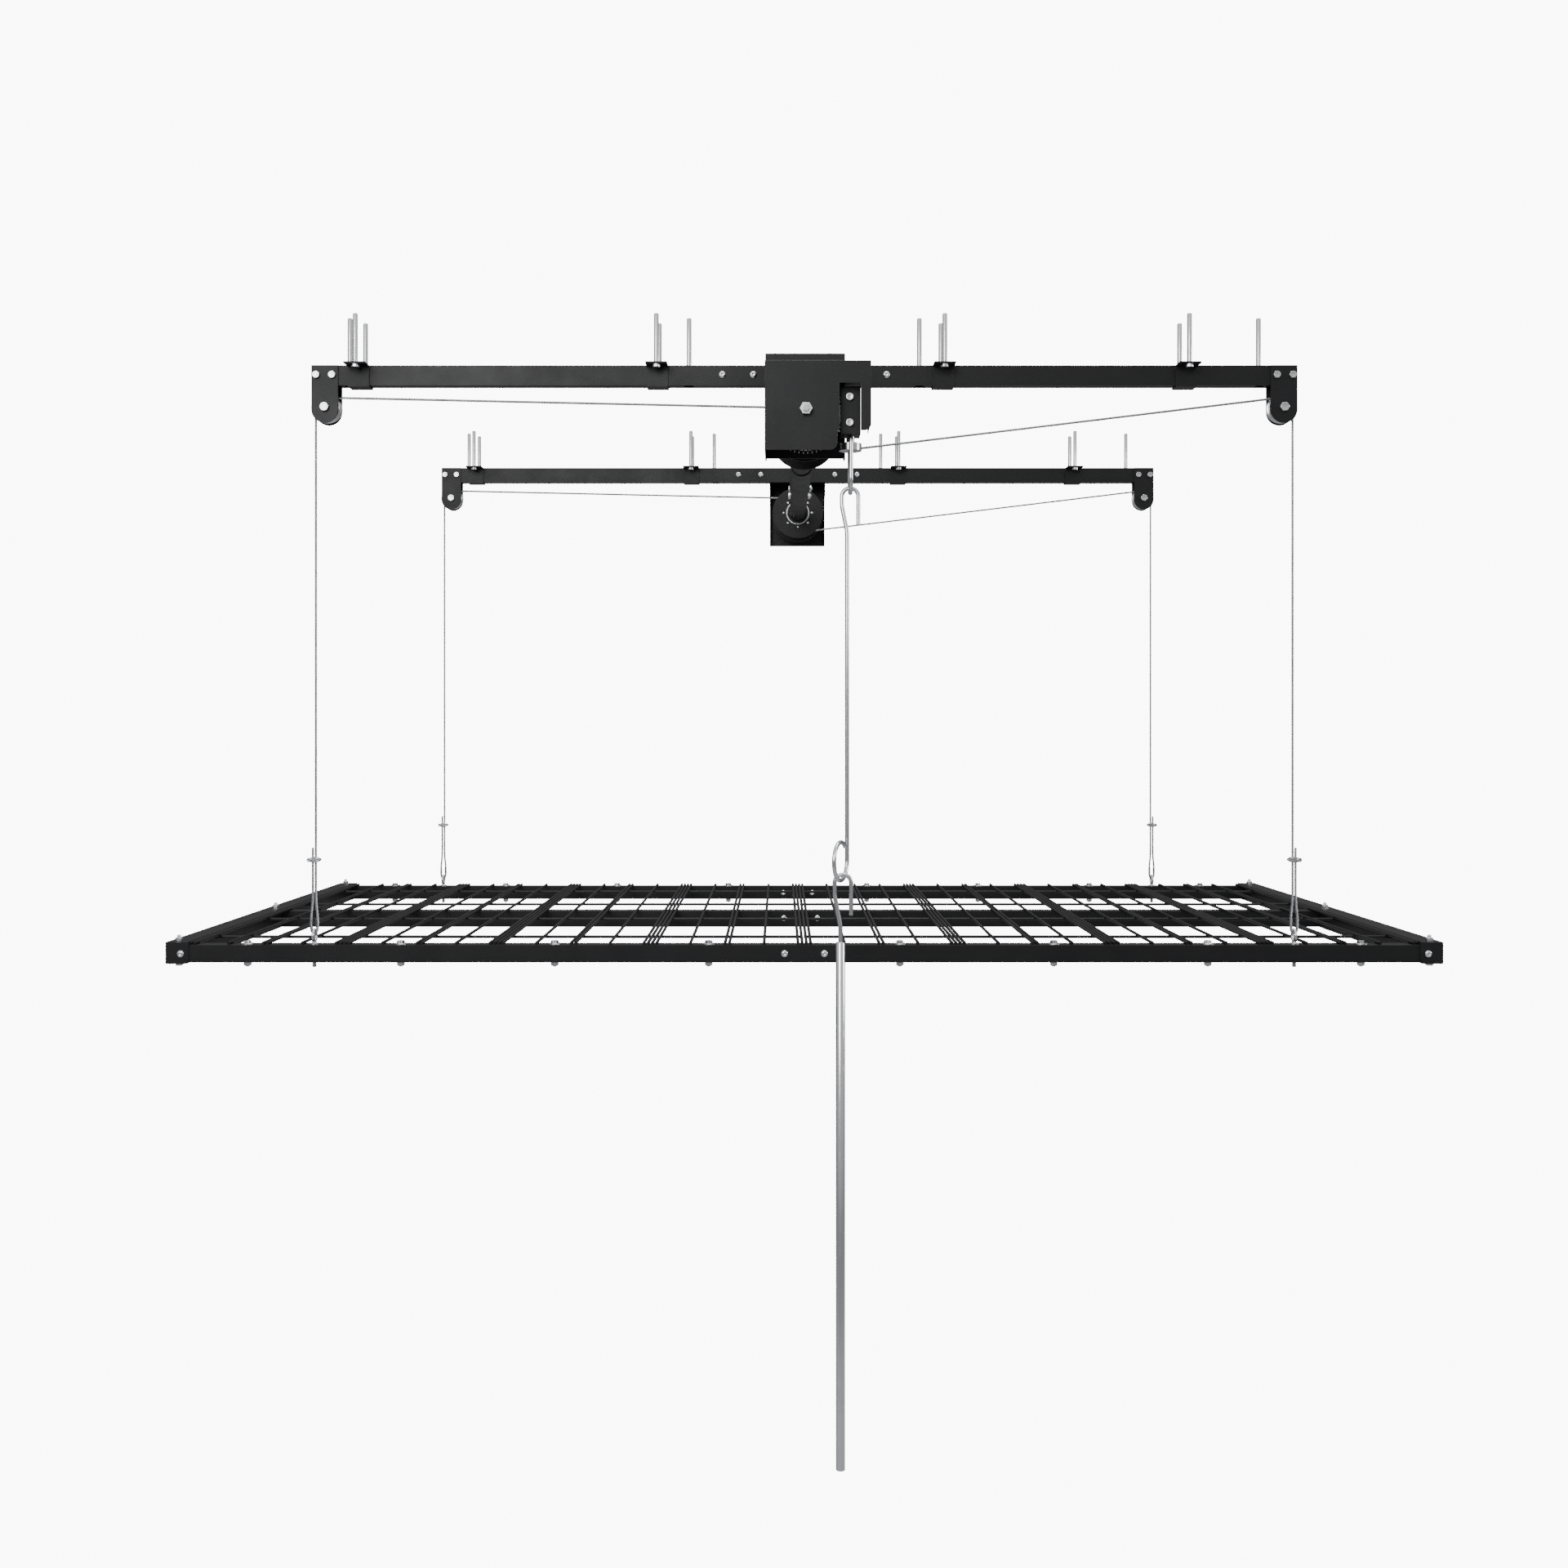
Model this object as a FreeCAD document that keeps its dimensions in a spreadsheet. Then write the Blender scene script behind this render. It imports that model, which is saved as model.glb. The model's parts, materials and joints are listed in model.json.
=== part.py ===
"""Ceiling mounted pulley rack: a 2438 x 1219 mm wire deck on four cables, raised by a worm winch.

Frame: +X runs along the rack, +Y goes from the winch side to the far side, +Z is up. The origin is on the
ceiling plane, midway between the two overhead tracks. Millimetres throughout.
"""

import FreeCAD, Part
import math
import os
import re

import Sketcher
from FreeCAD import Placement, Rotation, Vector

doc = FreeCAD.newDocument("ceiling_pulley_rack")

# ------------------------------------------------------------------ driving dimensions
# Every alias has an underscore, which is how linked() knows it in an expression.
DIMENSIONS = {
    # overhead tracks
    "track_spread": 1179,
    "track_length": 1880,
    "track_depth": 26,
    "track_height": 38,
    "track_wall": 2.5,
    # fasteners: M8 everywhere but the pulley axles
    "bolt_size": 8,
    "bolt_play": 0.1,
    "bolt_across": 13,
    "axle_size": 10,
    "axle_across": 16,
    "lag_size": 9.5,
    "lag_neck": 9,
    "lag_top": 93,
    # ceiling brackets and pulley cheeks
    "strap_width": 41,
    "strap_reach": 48,
    "strap_wall": 3,
    "cheek_width": 51,
    "cheek_drop": 110,
    "cheek_wall": 3,
    "pulley_spread": 1833,
    "pulley_drop": 80,
    "pulley_pitch_radius": 21,
    "pulley_rim_radius": 27.5,
    "pulley_width": 22,
    # cables
    "cable_size": 5,
    "cable_play": 0.3,
    # winch
    "shaft_drop": 124,
    "drum_pitch_radius": 45,
    "drum_flange_radius": 66,
    "drum_width": 96,
    "tube_radius": 21,
    "tube_wall": 3,
    "spindle_radius": 10,
    "mount_front": 697,
    "mount_rear": 686,
    "mount_width": 148,
    "mount_height": 195,
    "cover_front": 802.5,
    "cover_wall": 1.5,
    # worm gear
    "gear_plane": 750,
    "gear_module": 2.5,
    "wheel_teeth": 54,
    "wheel_width": 12,
    "worm_pitch_radius": 14,
    "worm_shaft_radius": 7.75,
    "worm_turns": 3,
    # crank
    "crank_rod_size": 8,
    "pole_size": 17,
    "pole_bottom": 2029,
    # deck
    "deck_length": 2438,
    "deck_depth": 1219,
    "rail_top": 1108,
    "rail_depth": 36,
    "rail_height": 33,
    "mid_rail_height": 36,
    "rail_wall": 2,
    "side_top": 1102,
    "side_width": 40,
    "side_height": 41.5,
    "tab_wall": 2,
    "tab_width": 44,
    "panel_pitch": 295,
    "wire_size": 6,
}

sheet = doc.addObject("Spreadsheet::Sheet", "Dimensions")
for row, (alias, size) in enumerate(DIMENSIONS.items(), 1):
    sheet.set(f"A{row}", alias)
    sheet.set(f"B{row}", str(size))
    sheet.setAlias(f"B{row}", alias)
doc.recompute()

NODES = []
AIM = {
    "x": Rotation(Vector(0, 1, 0), 90),
    "y": Rotation(Vector(1, 0, 0), -90),
    "z": Rotation(),
}


# ------------------------------------------------------------------ helpers
def linked(text):
    """An expression in the sheet's aliases, as another object has to write it."""
    return re.sub(r"[a-z]+(_[a-z]+)+", r"Dimensions.\g<0>", str(text))


def value(text):
    """The number that an expression in the sheet's aliases gives."""
    sheet.set("D1", f"={text}")
    sheet.recompute()
    return float(sheet.get("D1"))


def bind(thing, **sizes):
    for prop, text in sizes.items():
        thing.setExpression(prop, linked(text))
    return thing


def put(thing, x, y, z, turn=None):
    """Place an object, with its turn fixed and its position bound to the sheet."""
    if turn:
        thing.Placement = Placement(Vector(), turn)
    for axis, text in zip("xyz", (x, y, z)):
        thing.setExpression(f"Placement.Base.{axis}", linked(text))
    return thing


def node(label, thing):
    """Name a finished sub-part."""
    thing.Label = label
    NODES.append(thing)
    return thing


def box(length, depth, height, x, y, z):
    block = bind(doc.addObject("Part::Box", "Block"), Length=length, Width=depth, Height=height)
    return put(block, x, y, z)


def rod(radius, length, x, y, z, along="z"):
    bar = bind(doc.addObject("Part::Cylinder", "Rod"), Radius=radius, Height=length)
    return put(bar, x, y, z, AIM[along])


def hexagon(across, length, x, y, z, along="z"):
    head = doc.addObject("Part::Prism", "Hexagon")
    head.Polygon = 6
    bind(head, Circumradius=f"({across}) / sqrt(3)", Height=length)
    return put(head, x, y, z, AIM[along])


def fused(*pieces):
    whole = doc.addObject("Part::MultiFuse", "Whole")
    whole.Shapes = list(pieces)
    return whole


def group(pieces):
    """Separate solids of one kind, kept together."""
    cluster = doc.addObject("Part::Compound", "Group")
    cluster.Links = list(pieces)
    return cluster


def cut(base, *holes):
    drilled = doc.addObject("Part::Cut", "Drilled")
    drilled.Base = base
    drilled.Tool = holes[0] if len(holes) == 1 else group(holes)
    return drilled


def copies(master, spots):
    """The same piece at each (x, y, z), or (x, y, z, rotation), as one group.

    The master stands at the origin, because a copy doesn't keep the master's own place.
    """
    clones = []
    for x, y, z, *turn in spots:
        clone = doc.addObject("App::Link", "Copy")
        clone.LinkedObject = master
        put(clone, x, y, z, turn[0] if turn else None)
        clones.append(clone)
    return group(clones)


def outline(sketch, corners):
    """A closed polygon whose corners, as pairs of expressions, are bound to the sheet."""
    first = sketch.GeometryCount
    places = [Vector(value(across), value(up), 0) for across, up in corners]
    count = len(corners)
    for k in range(count):
        sketch.addGeometry(Part.LineSegment(places[k], places[(k + 1) % count]))
    for k in range(count):
        here, after = first + k, first + (k + 1) % count
        sketch.addConstraint(Sketcher.Constraint("Coincident", here, 2, after, 1))
    for k, texts in enumerate(corners):
        for kind, text, at in zip(("DistanceX", "DistanceY"), texts, places[k]):
            rule = sketch.addConstraint(Sketcher.Constraint(kind, -1, 1, first + k, 1, at))
            sketch.setExpression(f"Constraints[{rule}]", linked(text))


def sketched(plane, *outlines):
    """A body with a sketch of the outlines on one of its origin planes."""
    body = doc.addObject("PartDesign::Body", "Body")
    sketch = body.newObject("Sketcher::SketchObject", "Sketch")
    origin_plane = next(f for f in body.Origin.OriginFeatures if f.Role == plane)
    sketch.AttachmentSupport = [(origin_plane, "")]
    sketch.MapMode = "FlatFace"
    for corners in outlines:
        outline(sketch, corners)
    return body, sketch


def padded(plane, length, *outlines):
    body, sketch = sketched(plane, *outlines)
    pad = body.newObject("PartDesign::Pad", "Pad")
    pad.Profile = sketch
    bind(pad, Length=length)
    return body


def bar(depth, height, wall, length, x, y, z, along="x"):
    """A rectangular tube: its section hangs below (x, y, z) and it runs along X or Y from there."""
    tube = padded(
        "YZ_Plane",
        length,
        rectangle(f"-({depth}) / 2", f"({depth}) / 2", f"-({height})", "0"),
        rectangle(
            f"-({depth}) / 2 + {wall}",
            f"({depth}) / 2 - {wall}",
            f"-({height}) + {wall}",
            f"-({wall})",
        ),
    )
    return put(tube, x, y, z, Rotation(Vector(0, 0, 1), 90 if along == "y" else 0))


def rectangle(left, right, low, high):
    return [(left, low), (right, low), (right, high), (left, high)]


def turned(corners):
    """A ring turned about Y from its half section, as (radius, y) corners."""
    body, sketch = sketched("XY_Plane", corners)
    ring = body.newObject("PartDesign::Revolution", "Turned")
    ring.Profile = sketch
    ring.ReferenceAxis = (sketch, ["V_Axis"])
    ring.Angle = 360
    return body


def rounded_path(points, radii):
    """Straight runs joined by tangent arcs: one radius for each point but the first and last."""
    edges, start = [], points[0]
    for before, corner, after, radius in zip(points, points[1:], points[2:], radii):
        back = (before - corner).normalize()
        ahead = (after - corner).normalize()
        half = back.getAngle(ahead) / 2
        reach = radius / math.tan(half)
        entry, leave = corner + back * reach, corner + ahead * reach
        middle = corner + (back + ahead).normalize() * (radius / math.sin(half) - radius)
        if (entry - start).Length > 1e-6:
            edges.append(Part.LineSegment(start, entry).toShape())
        edges.append(Part.Arc(entry, middle, leave).toShape())
        start = leave
    if (points[-1] - start).Length > 1e-6:
        edges.append(Part.LineSegment(start, points[-1]).toShape())
    return edges


def round_bar(edges, radius, name):
    """A round bar or cable along joined edges, checked against its section times its length."""
    spine = Part.Wire(edges)
    start = edges[0].valueAt(edges[0].FirstParameter)
    heading = edges[0].tangentAt(edges[0].FirstParameter)
    if (start - spine.OrderedVertexes[0].Point).Length > 1e-6:
        raise ValueError(f"{name}: the route starts at its far end")
    ring = Part.Wire(Part.Circle(start, heading, radius).toShape())
    solid = spine.makePipeShell([ring], True, False)
    wanted = math.pi * radius**2 * spine.Length
    if not solid.isValid() or abs(solid.Volume / wanted - 1) > 0.01:
        raise ValueError(f"{name}: volume {solid.Volume:.0f} instead of {wanted:.0f}")
    bends = [edge.Curve.Radius for edge in edges if hasattr(edge.Curve, "Radius")]
    print(f"{name}: {spine.Length:.0f} long, tightest bend {min(bends, default=0):.1f}")
    return solid


def shaped(solid, name):
    """A solid that neither a sketch nor a primitive makes."""
    piece = doc.addObject("Part::Feature", name)
    piece.Shape = solid
    return piece


def mirrored(piece):
    """The piece's mirror image across the YZ plane."""
    twin = doc.addObject("Part::Mirroring", "Mirrored")
    twin.Source = piece
    twin.Normal = Vector(1, 0, 0)
    return twin


def screw(across, head, shank, length, nut, reach, along):
    """A bolt with its head's underside at the origin, and a nut from `reach` along the shank."""
    pieces = [
        hexagon(across, head, *offset(along, f"-({head})"), along),
        rod(f"({shank}) / 2", length, 0, 0, 0, along),
    ]
    if nut:
        pieces.append(hexagon(across, nut, *offset(along, reach), along))
    return fused(*pieces)


def offset(along, text):
    return tuple(text if axis == along else 0 for axis in "xyz")


BOLT_HOLE = "bolt_size / 2 + bolt_play / 2"
LAG_HOLE = "lag_size / 2 + bolt_play / 2"
FRONT, REAR = "-track_spread / 2", "track_spread / 2"
TRACKS = {"front": FRONT, "rear": REAR}
SIDES = {"left": -1, "right": 1}

# ------------------------------------------------------------------ overhead tracks
# Each track is two tubes that meet over the winch, held by a sleeve inside and four through bolts.
TRACK_BOLTS = (98, 157)
TRACK_BOLT_DROP = 18
CHEEK_BOLTS = (902, 932.5)
CHEEK_BOLT_DROP = 18.7
TRACK_LAGS = (221, 872)
LAG_ACCESS_RADIUS = 10

for track, y in TRACKS.items():
    for side, sign in SIDES.items():
        tube = bar(
            "track_depth",
            "track_height",
            "track_wall",
            "track_length / 2",
            "-track_length / 2" if sign < 0 else 0,
            y,
            0,
        )
        holes = []
        for x, drop in [(x, TRACK_BOLT_DROP) for x in TRACK_BOLTS] + [
            (x, CHEEK_BOLT_DROP) for x in CHEEK_BOLTS
        ]:
            holes.append(
                rod(BOLT_HOLE, "track_depth + 2", sign * x, f"{y} - track_depth / 2 - 1", -drop, "y")
            )
        for x in TRACK_LAGS:
            holes.append(rod(LAG_HOLE, "track_wall + 2", sign * x, y, "-track_wall - 1"))
            holes.append(rod(LAG_ACCESS_RADIUS, "track_wall + 2", sign * x, y, "-track_height - 1"))
        node(f"{track}_track_{side}", cut(tube, *holes))

JOINER_REACH = 190
joiner = bar(
    "track_depth - 2 * track_wall",
    "track_height - 2 * track_wall",
    "track_wall",
    2 * JOINER_REACH,
    -JOINER_REACH,
    0,
    "-track_wall",
)
joiner = cut(
    joiner,
    *[
        rod(BOLT_HOLE, "track_depth", sign * x, "-track_depth / 2", -TRACK_BOLT_DROP, "y")
        for x in TRACK_BOLTS
        for sign in SIDES.values()
    ],
)
node("track_joiners", copies(joiner, [(0, y, 0) for y in TRACKS.values()]))

# Button head bolts, heads to the front, with plain nuts behind.
BUTTON_RADIUS = 7
BUTTON_HEIGHT = 4.4
SOCKET_ACROSS = 5
SOCKET_DEPTH = 2.6
NUT_HEIGHT = 6.5


def button_bolt(grip):
    """Head to the front of y = 0, shank through `grip`, nut behind it."""
    dome = rod(f"{BUTTON_RADIUS} - 1", BUTTON_HEIGHT, 0, -BUTTON_HEIGHT, 0, "y")
    rim = rod(BUTTON_RADIUS, BUTTON_HEIGHT - 1.4, 0, 1.4 - BUTTON_HEIGHT, 0, "y")
    head = cut(fused(dome, rim), hexagon(SOCKET_ACROSS, SOCKET_DEPTH, 0, -BUTTON_HEIGHT, 0, "y"))
    return fused(
        head,
        rod("bolt_size / 2", f"{grip} + {NUT_HEIGHT} + 2", 0, 0, 0, "y"),
        hexagon("bolt_across", NUT_HEIGHT, 0, grip, 0, "y"),
    )


track_bolt = button_bolt("track_depth")
node(
    "track_joint_bolts",
    copies(
        track_bolt,
        [
            (sign * x, f"{y} - track_depth / 2", -TRACK_BOLT_DROP)
            for y in TRACKS.values()
            for x in TRACK_BOLTS
            for sign in SIDES.values()
        ],
    ),
)

# ------------------------------------------------------------------ ceiling brackets and lag screws
# A strap folded under the track, with an ear each side that a lag screw holds to the joists.
STRAPS = (-852, -281, 266, 730)
EAR_HOLE = 38
inner, outer = "track_depth / 2", "track_depth / 2 + strap_wall"
strap = padded(
    "YZ_Plane",
    "strap_width",
    [
        ("-strap_reach", "-strap_wall"),
        (f"-({outer})", "-strap_wall"),
        (f"-({outer})", "-track_height - strap_wall"),
        (outer, "-track_height - strap_wall"),
        (outer, "-strap_wall"),
        ("strap_reach", "-strap_wall"),
        ("strap_reach", "0"),
        (inner, "0"),
        (inner, "-track_height"),
        (f"-({inner})", "-track_height"),
        (f"-({inner})", "0"),
        ("-strap_reach", "0"),
    ],
)
put(strap, "-strap_width / 2", 0, 0)
strap = cut(
    strap,
    *[rod(LAG_HOLE, "strap_wall + 2", 0, s * EAR_HOLE, "-strap_wall - 1") for s in (-1, 1)],
)
node("ceiling_brackets", copies(strap, [(x, y, 0) for y in TRACKS.values() for x in STRAPS]))

LAG_HEAD = 6.4


def lag(seat):
    """A lag screw whose head hangs below z = -seat and whose tip stands above the ceiling."""
    return fused(
        hexagon("axle_across - 2", LAG_HEAD, 0, 0, f"-({seat}) - {LAG_HEAD}"),
        rod("lag_neck / 2", seat, 0, 0, f"-({seat})"),
        rod("lag_size / 2", "lag_top", 0, 0, 0),
    )


ear_lag = lag("strap_wall")
track_lag = lag("track_wall")
ear_spots = [(x, f"{y} + {s * EAR_HOLE}", 0) for y in TRACKS.values() for x in STRAPS for s in (-1, 1)]
track_spots = [(sign * x, y, 0) for y in TRACKS.values() for x in TRACK_LAGS for sign in (-1, 1)]
node("lag_screws", group([copies(ear_lag, ear_spots), copies(track_lag, track_spots)]))

# ------------------------------------------------------------------ pulley cheeks, bolts and pulleys
cheek_round = "-cheek_drop + cheek_width / 2"
cheek_top = box("cheek_width", "cheek_wall", f"-({cheek_round})", "-cheek_width / 2", 0, cheek_round)
cheek_end = rod("cheek_width / 2", "cheek_wall", 0, 0, cheek_round, "y")
cheek = cut(
    fused(cheek_top, cheek_end),
    rod("axle_size / 2 + bolt_play / 2", "cheek_wall + 2", 0, -1, "-pulley_drop", "y"),
    *[
        rod(BOLT_HOLE, "cheek_wall + 2", f"{x} - pulley_spread / 2", -1, -CHEEK_BOLT_DROP, "y")
        for x in CHEEK_BOLTS
    ],
)
half_turn = Rotation(Vector(0, 0, 1), 180)
cheek_spots = []
for y in TRACKS.values():
    cheek_spots += [
        ("pulley_spread / 2", f"{y} - track_depth / 2 - cheek_wall", 0),
        ("pulley_spread / 2", f"{y} + track_depth / 2", 0),
        ("-pulley_spread / 2", f"{y} - track_depth / 2", 0, half_turn),
        ("-pulley_spread / 2", f"{y} + track_depth / 2 + cheek_wall", 0, half_turn),
    ]
node("pulley_cheeks", copies(cheek, cheek_spots))

HEAD_HEIGHT = 5.5
cheek_grip = "track_depth + 2 * cheek_wall"
cheek_bolt = screw("bolt_across", HEAD_HEIGHT, "bolt_size", f"{cheek_grip} + 9", NUT_HEIGHT, cheek_grip, "y")
axle_bolt = screw("axle_across", 6.4, "axle_size", f"{cheek_grip} + 10", 8, cheek_grip, "y")
cheek_face = "- track_depth / 2 - cheek_wall"

# The worm housing's two bolts are of the same kind, with a short shank and no nut.
WORM_BOLT_DROPS = (96.7, 143.2)
WORM_BOLT_X = 79.5
HOUSING_FRONT = 775
housing_bolt = screw("bolt_across", HEAD_HEIGHT, "bolt_size", 11, 0, 0, "y")
node(
    "frame_hex_bolts",
    group(
        [
            copies(
                cheek_bolt,
                [
                    (sign * x, f"{y} {cheek_face}", -CHEEK_BOLT_DROP)
                    for y in TRACKS.values()
                    for x in CHEEK_BOLTS
                    for sign in SIDES.values()
                ],
            ),
            copies(housing_bolt, [(WORM_BOLT_X, -HOUSING_FRONT, -drop) for drop in WORM_BOLT_DROPS]),
        ]
    ),
)
node(
    "pulley_axle_bolts",
    copies(
        axle_bolt,
        [
            (f"{sign} * pulley_spread / 2", f"{y} {cheek_face}", "-pulley_drop")
            for y in TRACKS.values()
            for sign in SIDES.values()
        ],
    ),
)

groove_floor = "pulley_pitch_radius - cable_size / 2 - 0.1"
for track, y in TRACKS.items():
    for side, sign in SIDES.items():
        pulley = turned(
            [
                ("axle_size / 2 + bolt_play", "-pulley_width / 2"),
                ("pulley_rim_radius", "-pulley_width / 2"),
                ("pulley_rim_radius", "-7"),
                (groove_floor, "-2.75"),
                (groove_floor, "2.75"),
                ("pulley_rim_radius", "7"),
                ("pulley_rim_radius", "pulley_width / 2"),
                ("axle_size / 2 + bolt_play", "pulley_width / 2"),
            ]
        )
        node(f"{track}_pulley_{side}", put(pulley, f"{sign} * pulley_spread / 2", y, "-pulley_drop"))

# ------------------------------------------------------------------ winch mounts, cover and worm housing
MOUNT_WALL = 3
SIDE_LIP = 24
GUSSET_DROP = 70


def mount(front):
    """A plate across the winch shaft, with a ceiling flange and side flanges that reach the track.

    It is drawn for the front, at y = -front, and turned half round for the rear.
    """
    track_face = "-track_spread / 2 - track_depth / 2"
    outer = rectangle("-mount_width / 2", "mount_width / 2", "-mount_height", "0")
    plate = padded("XZ_Plane", MOUNT_WALL, outer)
    put(plate, 0, f"-({front})", 0)
    roof_depth = f"{front} + {track_face}"
    roof = box("mount_width", roof_depth, MOUNT_WALL, "-mount_width / 2", f"-({front})", -MOUNT_WALL)
    sides = []
    for x in ("-mount_width / 2", f"mount_width / 2 - {MOUNT_WALL}"):
        gusset = padded(
            "YZ_Plane",
            MOUNT_WALL,
            [
                (f"-({front})", "0"),
                (f"-({front})", "-mount_height"),
                (f"-({front}) + {SIDE_LIP}", "-mount_height"),
                (f"-({front}) + {SIDE_LIP}", f"-{GUSSET_DROP} - {SIDE_LIP}"),
                (f"-({front}) + 2 * {SIDE_LIP}", f"-{GUSSET_DROP}"),
                (track_face, f"-{GUSSET_DROP}"),
                (track_face, "0"),
            ],
        )
        sides.append(put(gusset, x, 0, 0))
    bore_start = f"-({front}) - 2 * {MOUNT_WALL}"
    bore = rod("spindle_radius + bolt_play", 3 * MOUNT_WALL, 0, bore_start, "-shaft_drop", "y")
    return cut(fused(plate, roof, *sides), bore)


node("front_mount_plate", mount("mount_front"))
node("rear_mount_plate", copies(mount("mount_rear"), [(0, 0, 0, half_turn)]))

# The cover is a folded sheet open below, with an arm over the worm and a slot in the arm.
COVER = {"left": -74, "right": 116.5, "top": -36.6, "bottom": -197, "step": 56, "arm": -162}
CORNER_RADIUS = 13
SLOT = {"left": 60, "right": 98, "top": -77}
cover_plate = padded(
    "XZ_Plane",
    "cover_wall",
    [
        (COVER["left"], COVER["top"]),
        (COVER["right"], COVER["top"]),
        (COVER["right"], COVER["arm"]),
        (SLOT["right"], COVER["arm"]),
        (SLOT["right"], SLOT["top"]),
        (SLOT["left"], SLOT["top"]),
        (SLOT["left"], COVER["arm"]),
        (COVER["step"], COVER["arm"]),
        (COVER["step"], COVER["bottom"]),
        (COVER["left"], COVER["bottom"]),
    ],
)


def corner_edges(pad, corners):
    """The names of a plate's edges that run through its thickness at the given (x, z) corners."""
    names = []
    for number, edge in enumerate(pad.Shape.Edges, 1):
        ends = [vertex.Point for vertex in edge.Vertexes]
        for x, z in corners:
            if all(abs(end.x - x) < 0.01 and abs(end.z - z) < 0.01 for end in ends):
                names.append(f"Edge{number}")
    return names


doc.recompute()
cover_pad = cover_plate.Tip
rounding = cover_plate.newObject("PartDesign::Fillet", "CoverCorners")
rounding.Base = (
    cover_pad,
    corner_edges(cover_pad, [(COVER["right"], COVER["arm"]), (COVER["step"], COVER["bottom"])]),
)
rounding.Radius = CORNER_RADIUS
put(cover_plate, 0, "-cover_front + cover_wall", 0)
cover_depth = f"cover_front - mount_front - {MOUNT_WALL} - 2 * cover_wall"
cover_behind = "-cover_front + cover_wall"
cover = cut(
    fused(
        cover_plate,
        box(
            "cover_wall", f"{cover_depth} + cover_wall", COVER["top"] - COVER["bottom"],
            COVER["left"], cover_behind, COVER["bottom"],
        ),
        box(
            COVER["right"] - COVER["left"], f"{cover_depth} + cover_wall", "cover_wall",
            COVER["left"], cover_behind, f"{COVER['top']} - cover_wall",
        ),
        box(
            "cover_wall", f"{cover_depth} + cover_wall", COVER["top"] - COVER["arm"] - CORNER_RADIUS,
            f"{COVER['right']} - cover_wall", cover_behind, COVER["arm"] + CORNER_RADIUS,
        ),
    ),
    rod("spindle_radius + bolt_play", "3 * cover_wall", 0, "-cover_front - cover_wall", "-shaft_drop", "y"),
)
node("gear_cover", cover)

# The worm housing carries the worm in two bearing blocks and is open toward the wheel.
HOUSING = {"left": 62.7, "right": 99.2, "top": -77, "bottom": -163, "wall": 3, "back": -727}
WORM_X = "gear_module * wheel_teeth / 2 + worm_pitch_radius"
left, top, low, back = HOUSING["left"], HOUSING["top"], HOUSING["bottom"], HOUSING["back"]
width, tall = HOUSING["right"] - left, top - low
depth = HOUSING_FRONT + back
wall = HOUSING["wall"]
BLOCKS = ((-103, -80), (-160, -138))
BLOCK_LEFT = 70.5
housing = fused(
    box(width, wall, tall, left, -HOUSING_FRONT, low),
    box(width, depth, wall, left, -HOUSING_FRONT, top - wall),
    box(width, depth, wall, left, -HOUSING_FRONT, low),
    box(width, wall, tall, left, back - wall, low),
    box(wall, f"{-back} - mount_front - {MOUNT_WALL}", tall, left, back, low),
    *[
        box(HOUSING["right"] - BLOCK_LEFT, depth - wall, end - start, BLOCK_LEFT, -HOUSING_FRONT, start)
        for start, end in BLOCKS
    ],
)
housing = cut(
    housing,
    rod("worm_shaft_radius + bolt_play", tall + 10, WORM_X, "-gear_plane", low - 5),
    *[rod(BOLT_HOLE, 12, WORM_BOLT_X, -HOUSING_FRONT - 0.5, -drop, "y") for drop in WORM_BOLT_DROPS],
)
node("worm_housing", housing)

# ------------------------------------------------------------------ winch shaft: drums, tubes, wheel
BOSS_RADIUS = 27.5
BOSS_HEIGHT = 5
TUBE_SEAT = 20
WEB = {"inner": 24, "outer": 38}
WEB_THICKNESS = 24
drum_core = "drum_pitch_radius - cable_size / 2 - cable_play"


def drum():
    """A cable drum centred on y = 0, with its boss and the drive tube's seat toward +Y."""
    blank = turned(
        [
            ("spindle_radius + bolt_play / 2", "-drum_width / 2"),
            (WEB["inner"], "-drum_width / 2"),
            (WEB["inner"], f"drum_width / 2 - {WEB_THICKNESS}"),
            (WEB["outer"], f"drum_width / 2 - {WEB_THICKNESS}"),
            (WEB["outer"], "-drum_width / 2"),
            ("drum_flange_radius", "-drum_width / 2"),
            ("drum_flange_radius", "-drum_width / 2 + 3"),
            (drum_core, "-drum_width / 2 + 3"),
            (drum_core, "drum_width / 2 - 3"),
            ("drum_flange_radius", "drum_width / 2 - 3"),
            ("drum_flange_radius", "drum_width / 2"),
            (BOSS_RADIUS, "drum_width / 2"),
            (BOSS_RADIUS, f"drum_width / 2 + {BOSS_HEIGHT}"),
            ("tube_radius + bolt_play / 2", f"drum_width / 2 + {BOSS_HEIGHT}"),
            ("tube_radius + bolt_play / 2", f"drum_width / 2 - {TUBE_SEAT}"),
            ("spindle_radius + bolt_play / 2", f"drum_width / 2 - {TUBE_SEAT}"),
        ]
    )
    return blank


node("front_drum", put(drum(), 0, FRONT, "-shaft_drop"))
# The rear drum has no spindle: its own journal turns in the rear mount plate.
journal_end = "mount_rear + 6 - track_spread / 2"
journal = rod("spindle_radius + bolt_play / 2", f"{journal_end} + 10", 0, f"-({journal_end})", 0, "y")
rear_drum = fused(drum(), journal)
node("rear_drum", put(rear_drum, 0, REAR, "-shaft_drop", half_turn))

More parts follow.
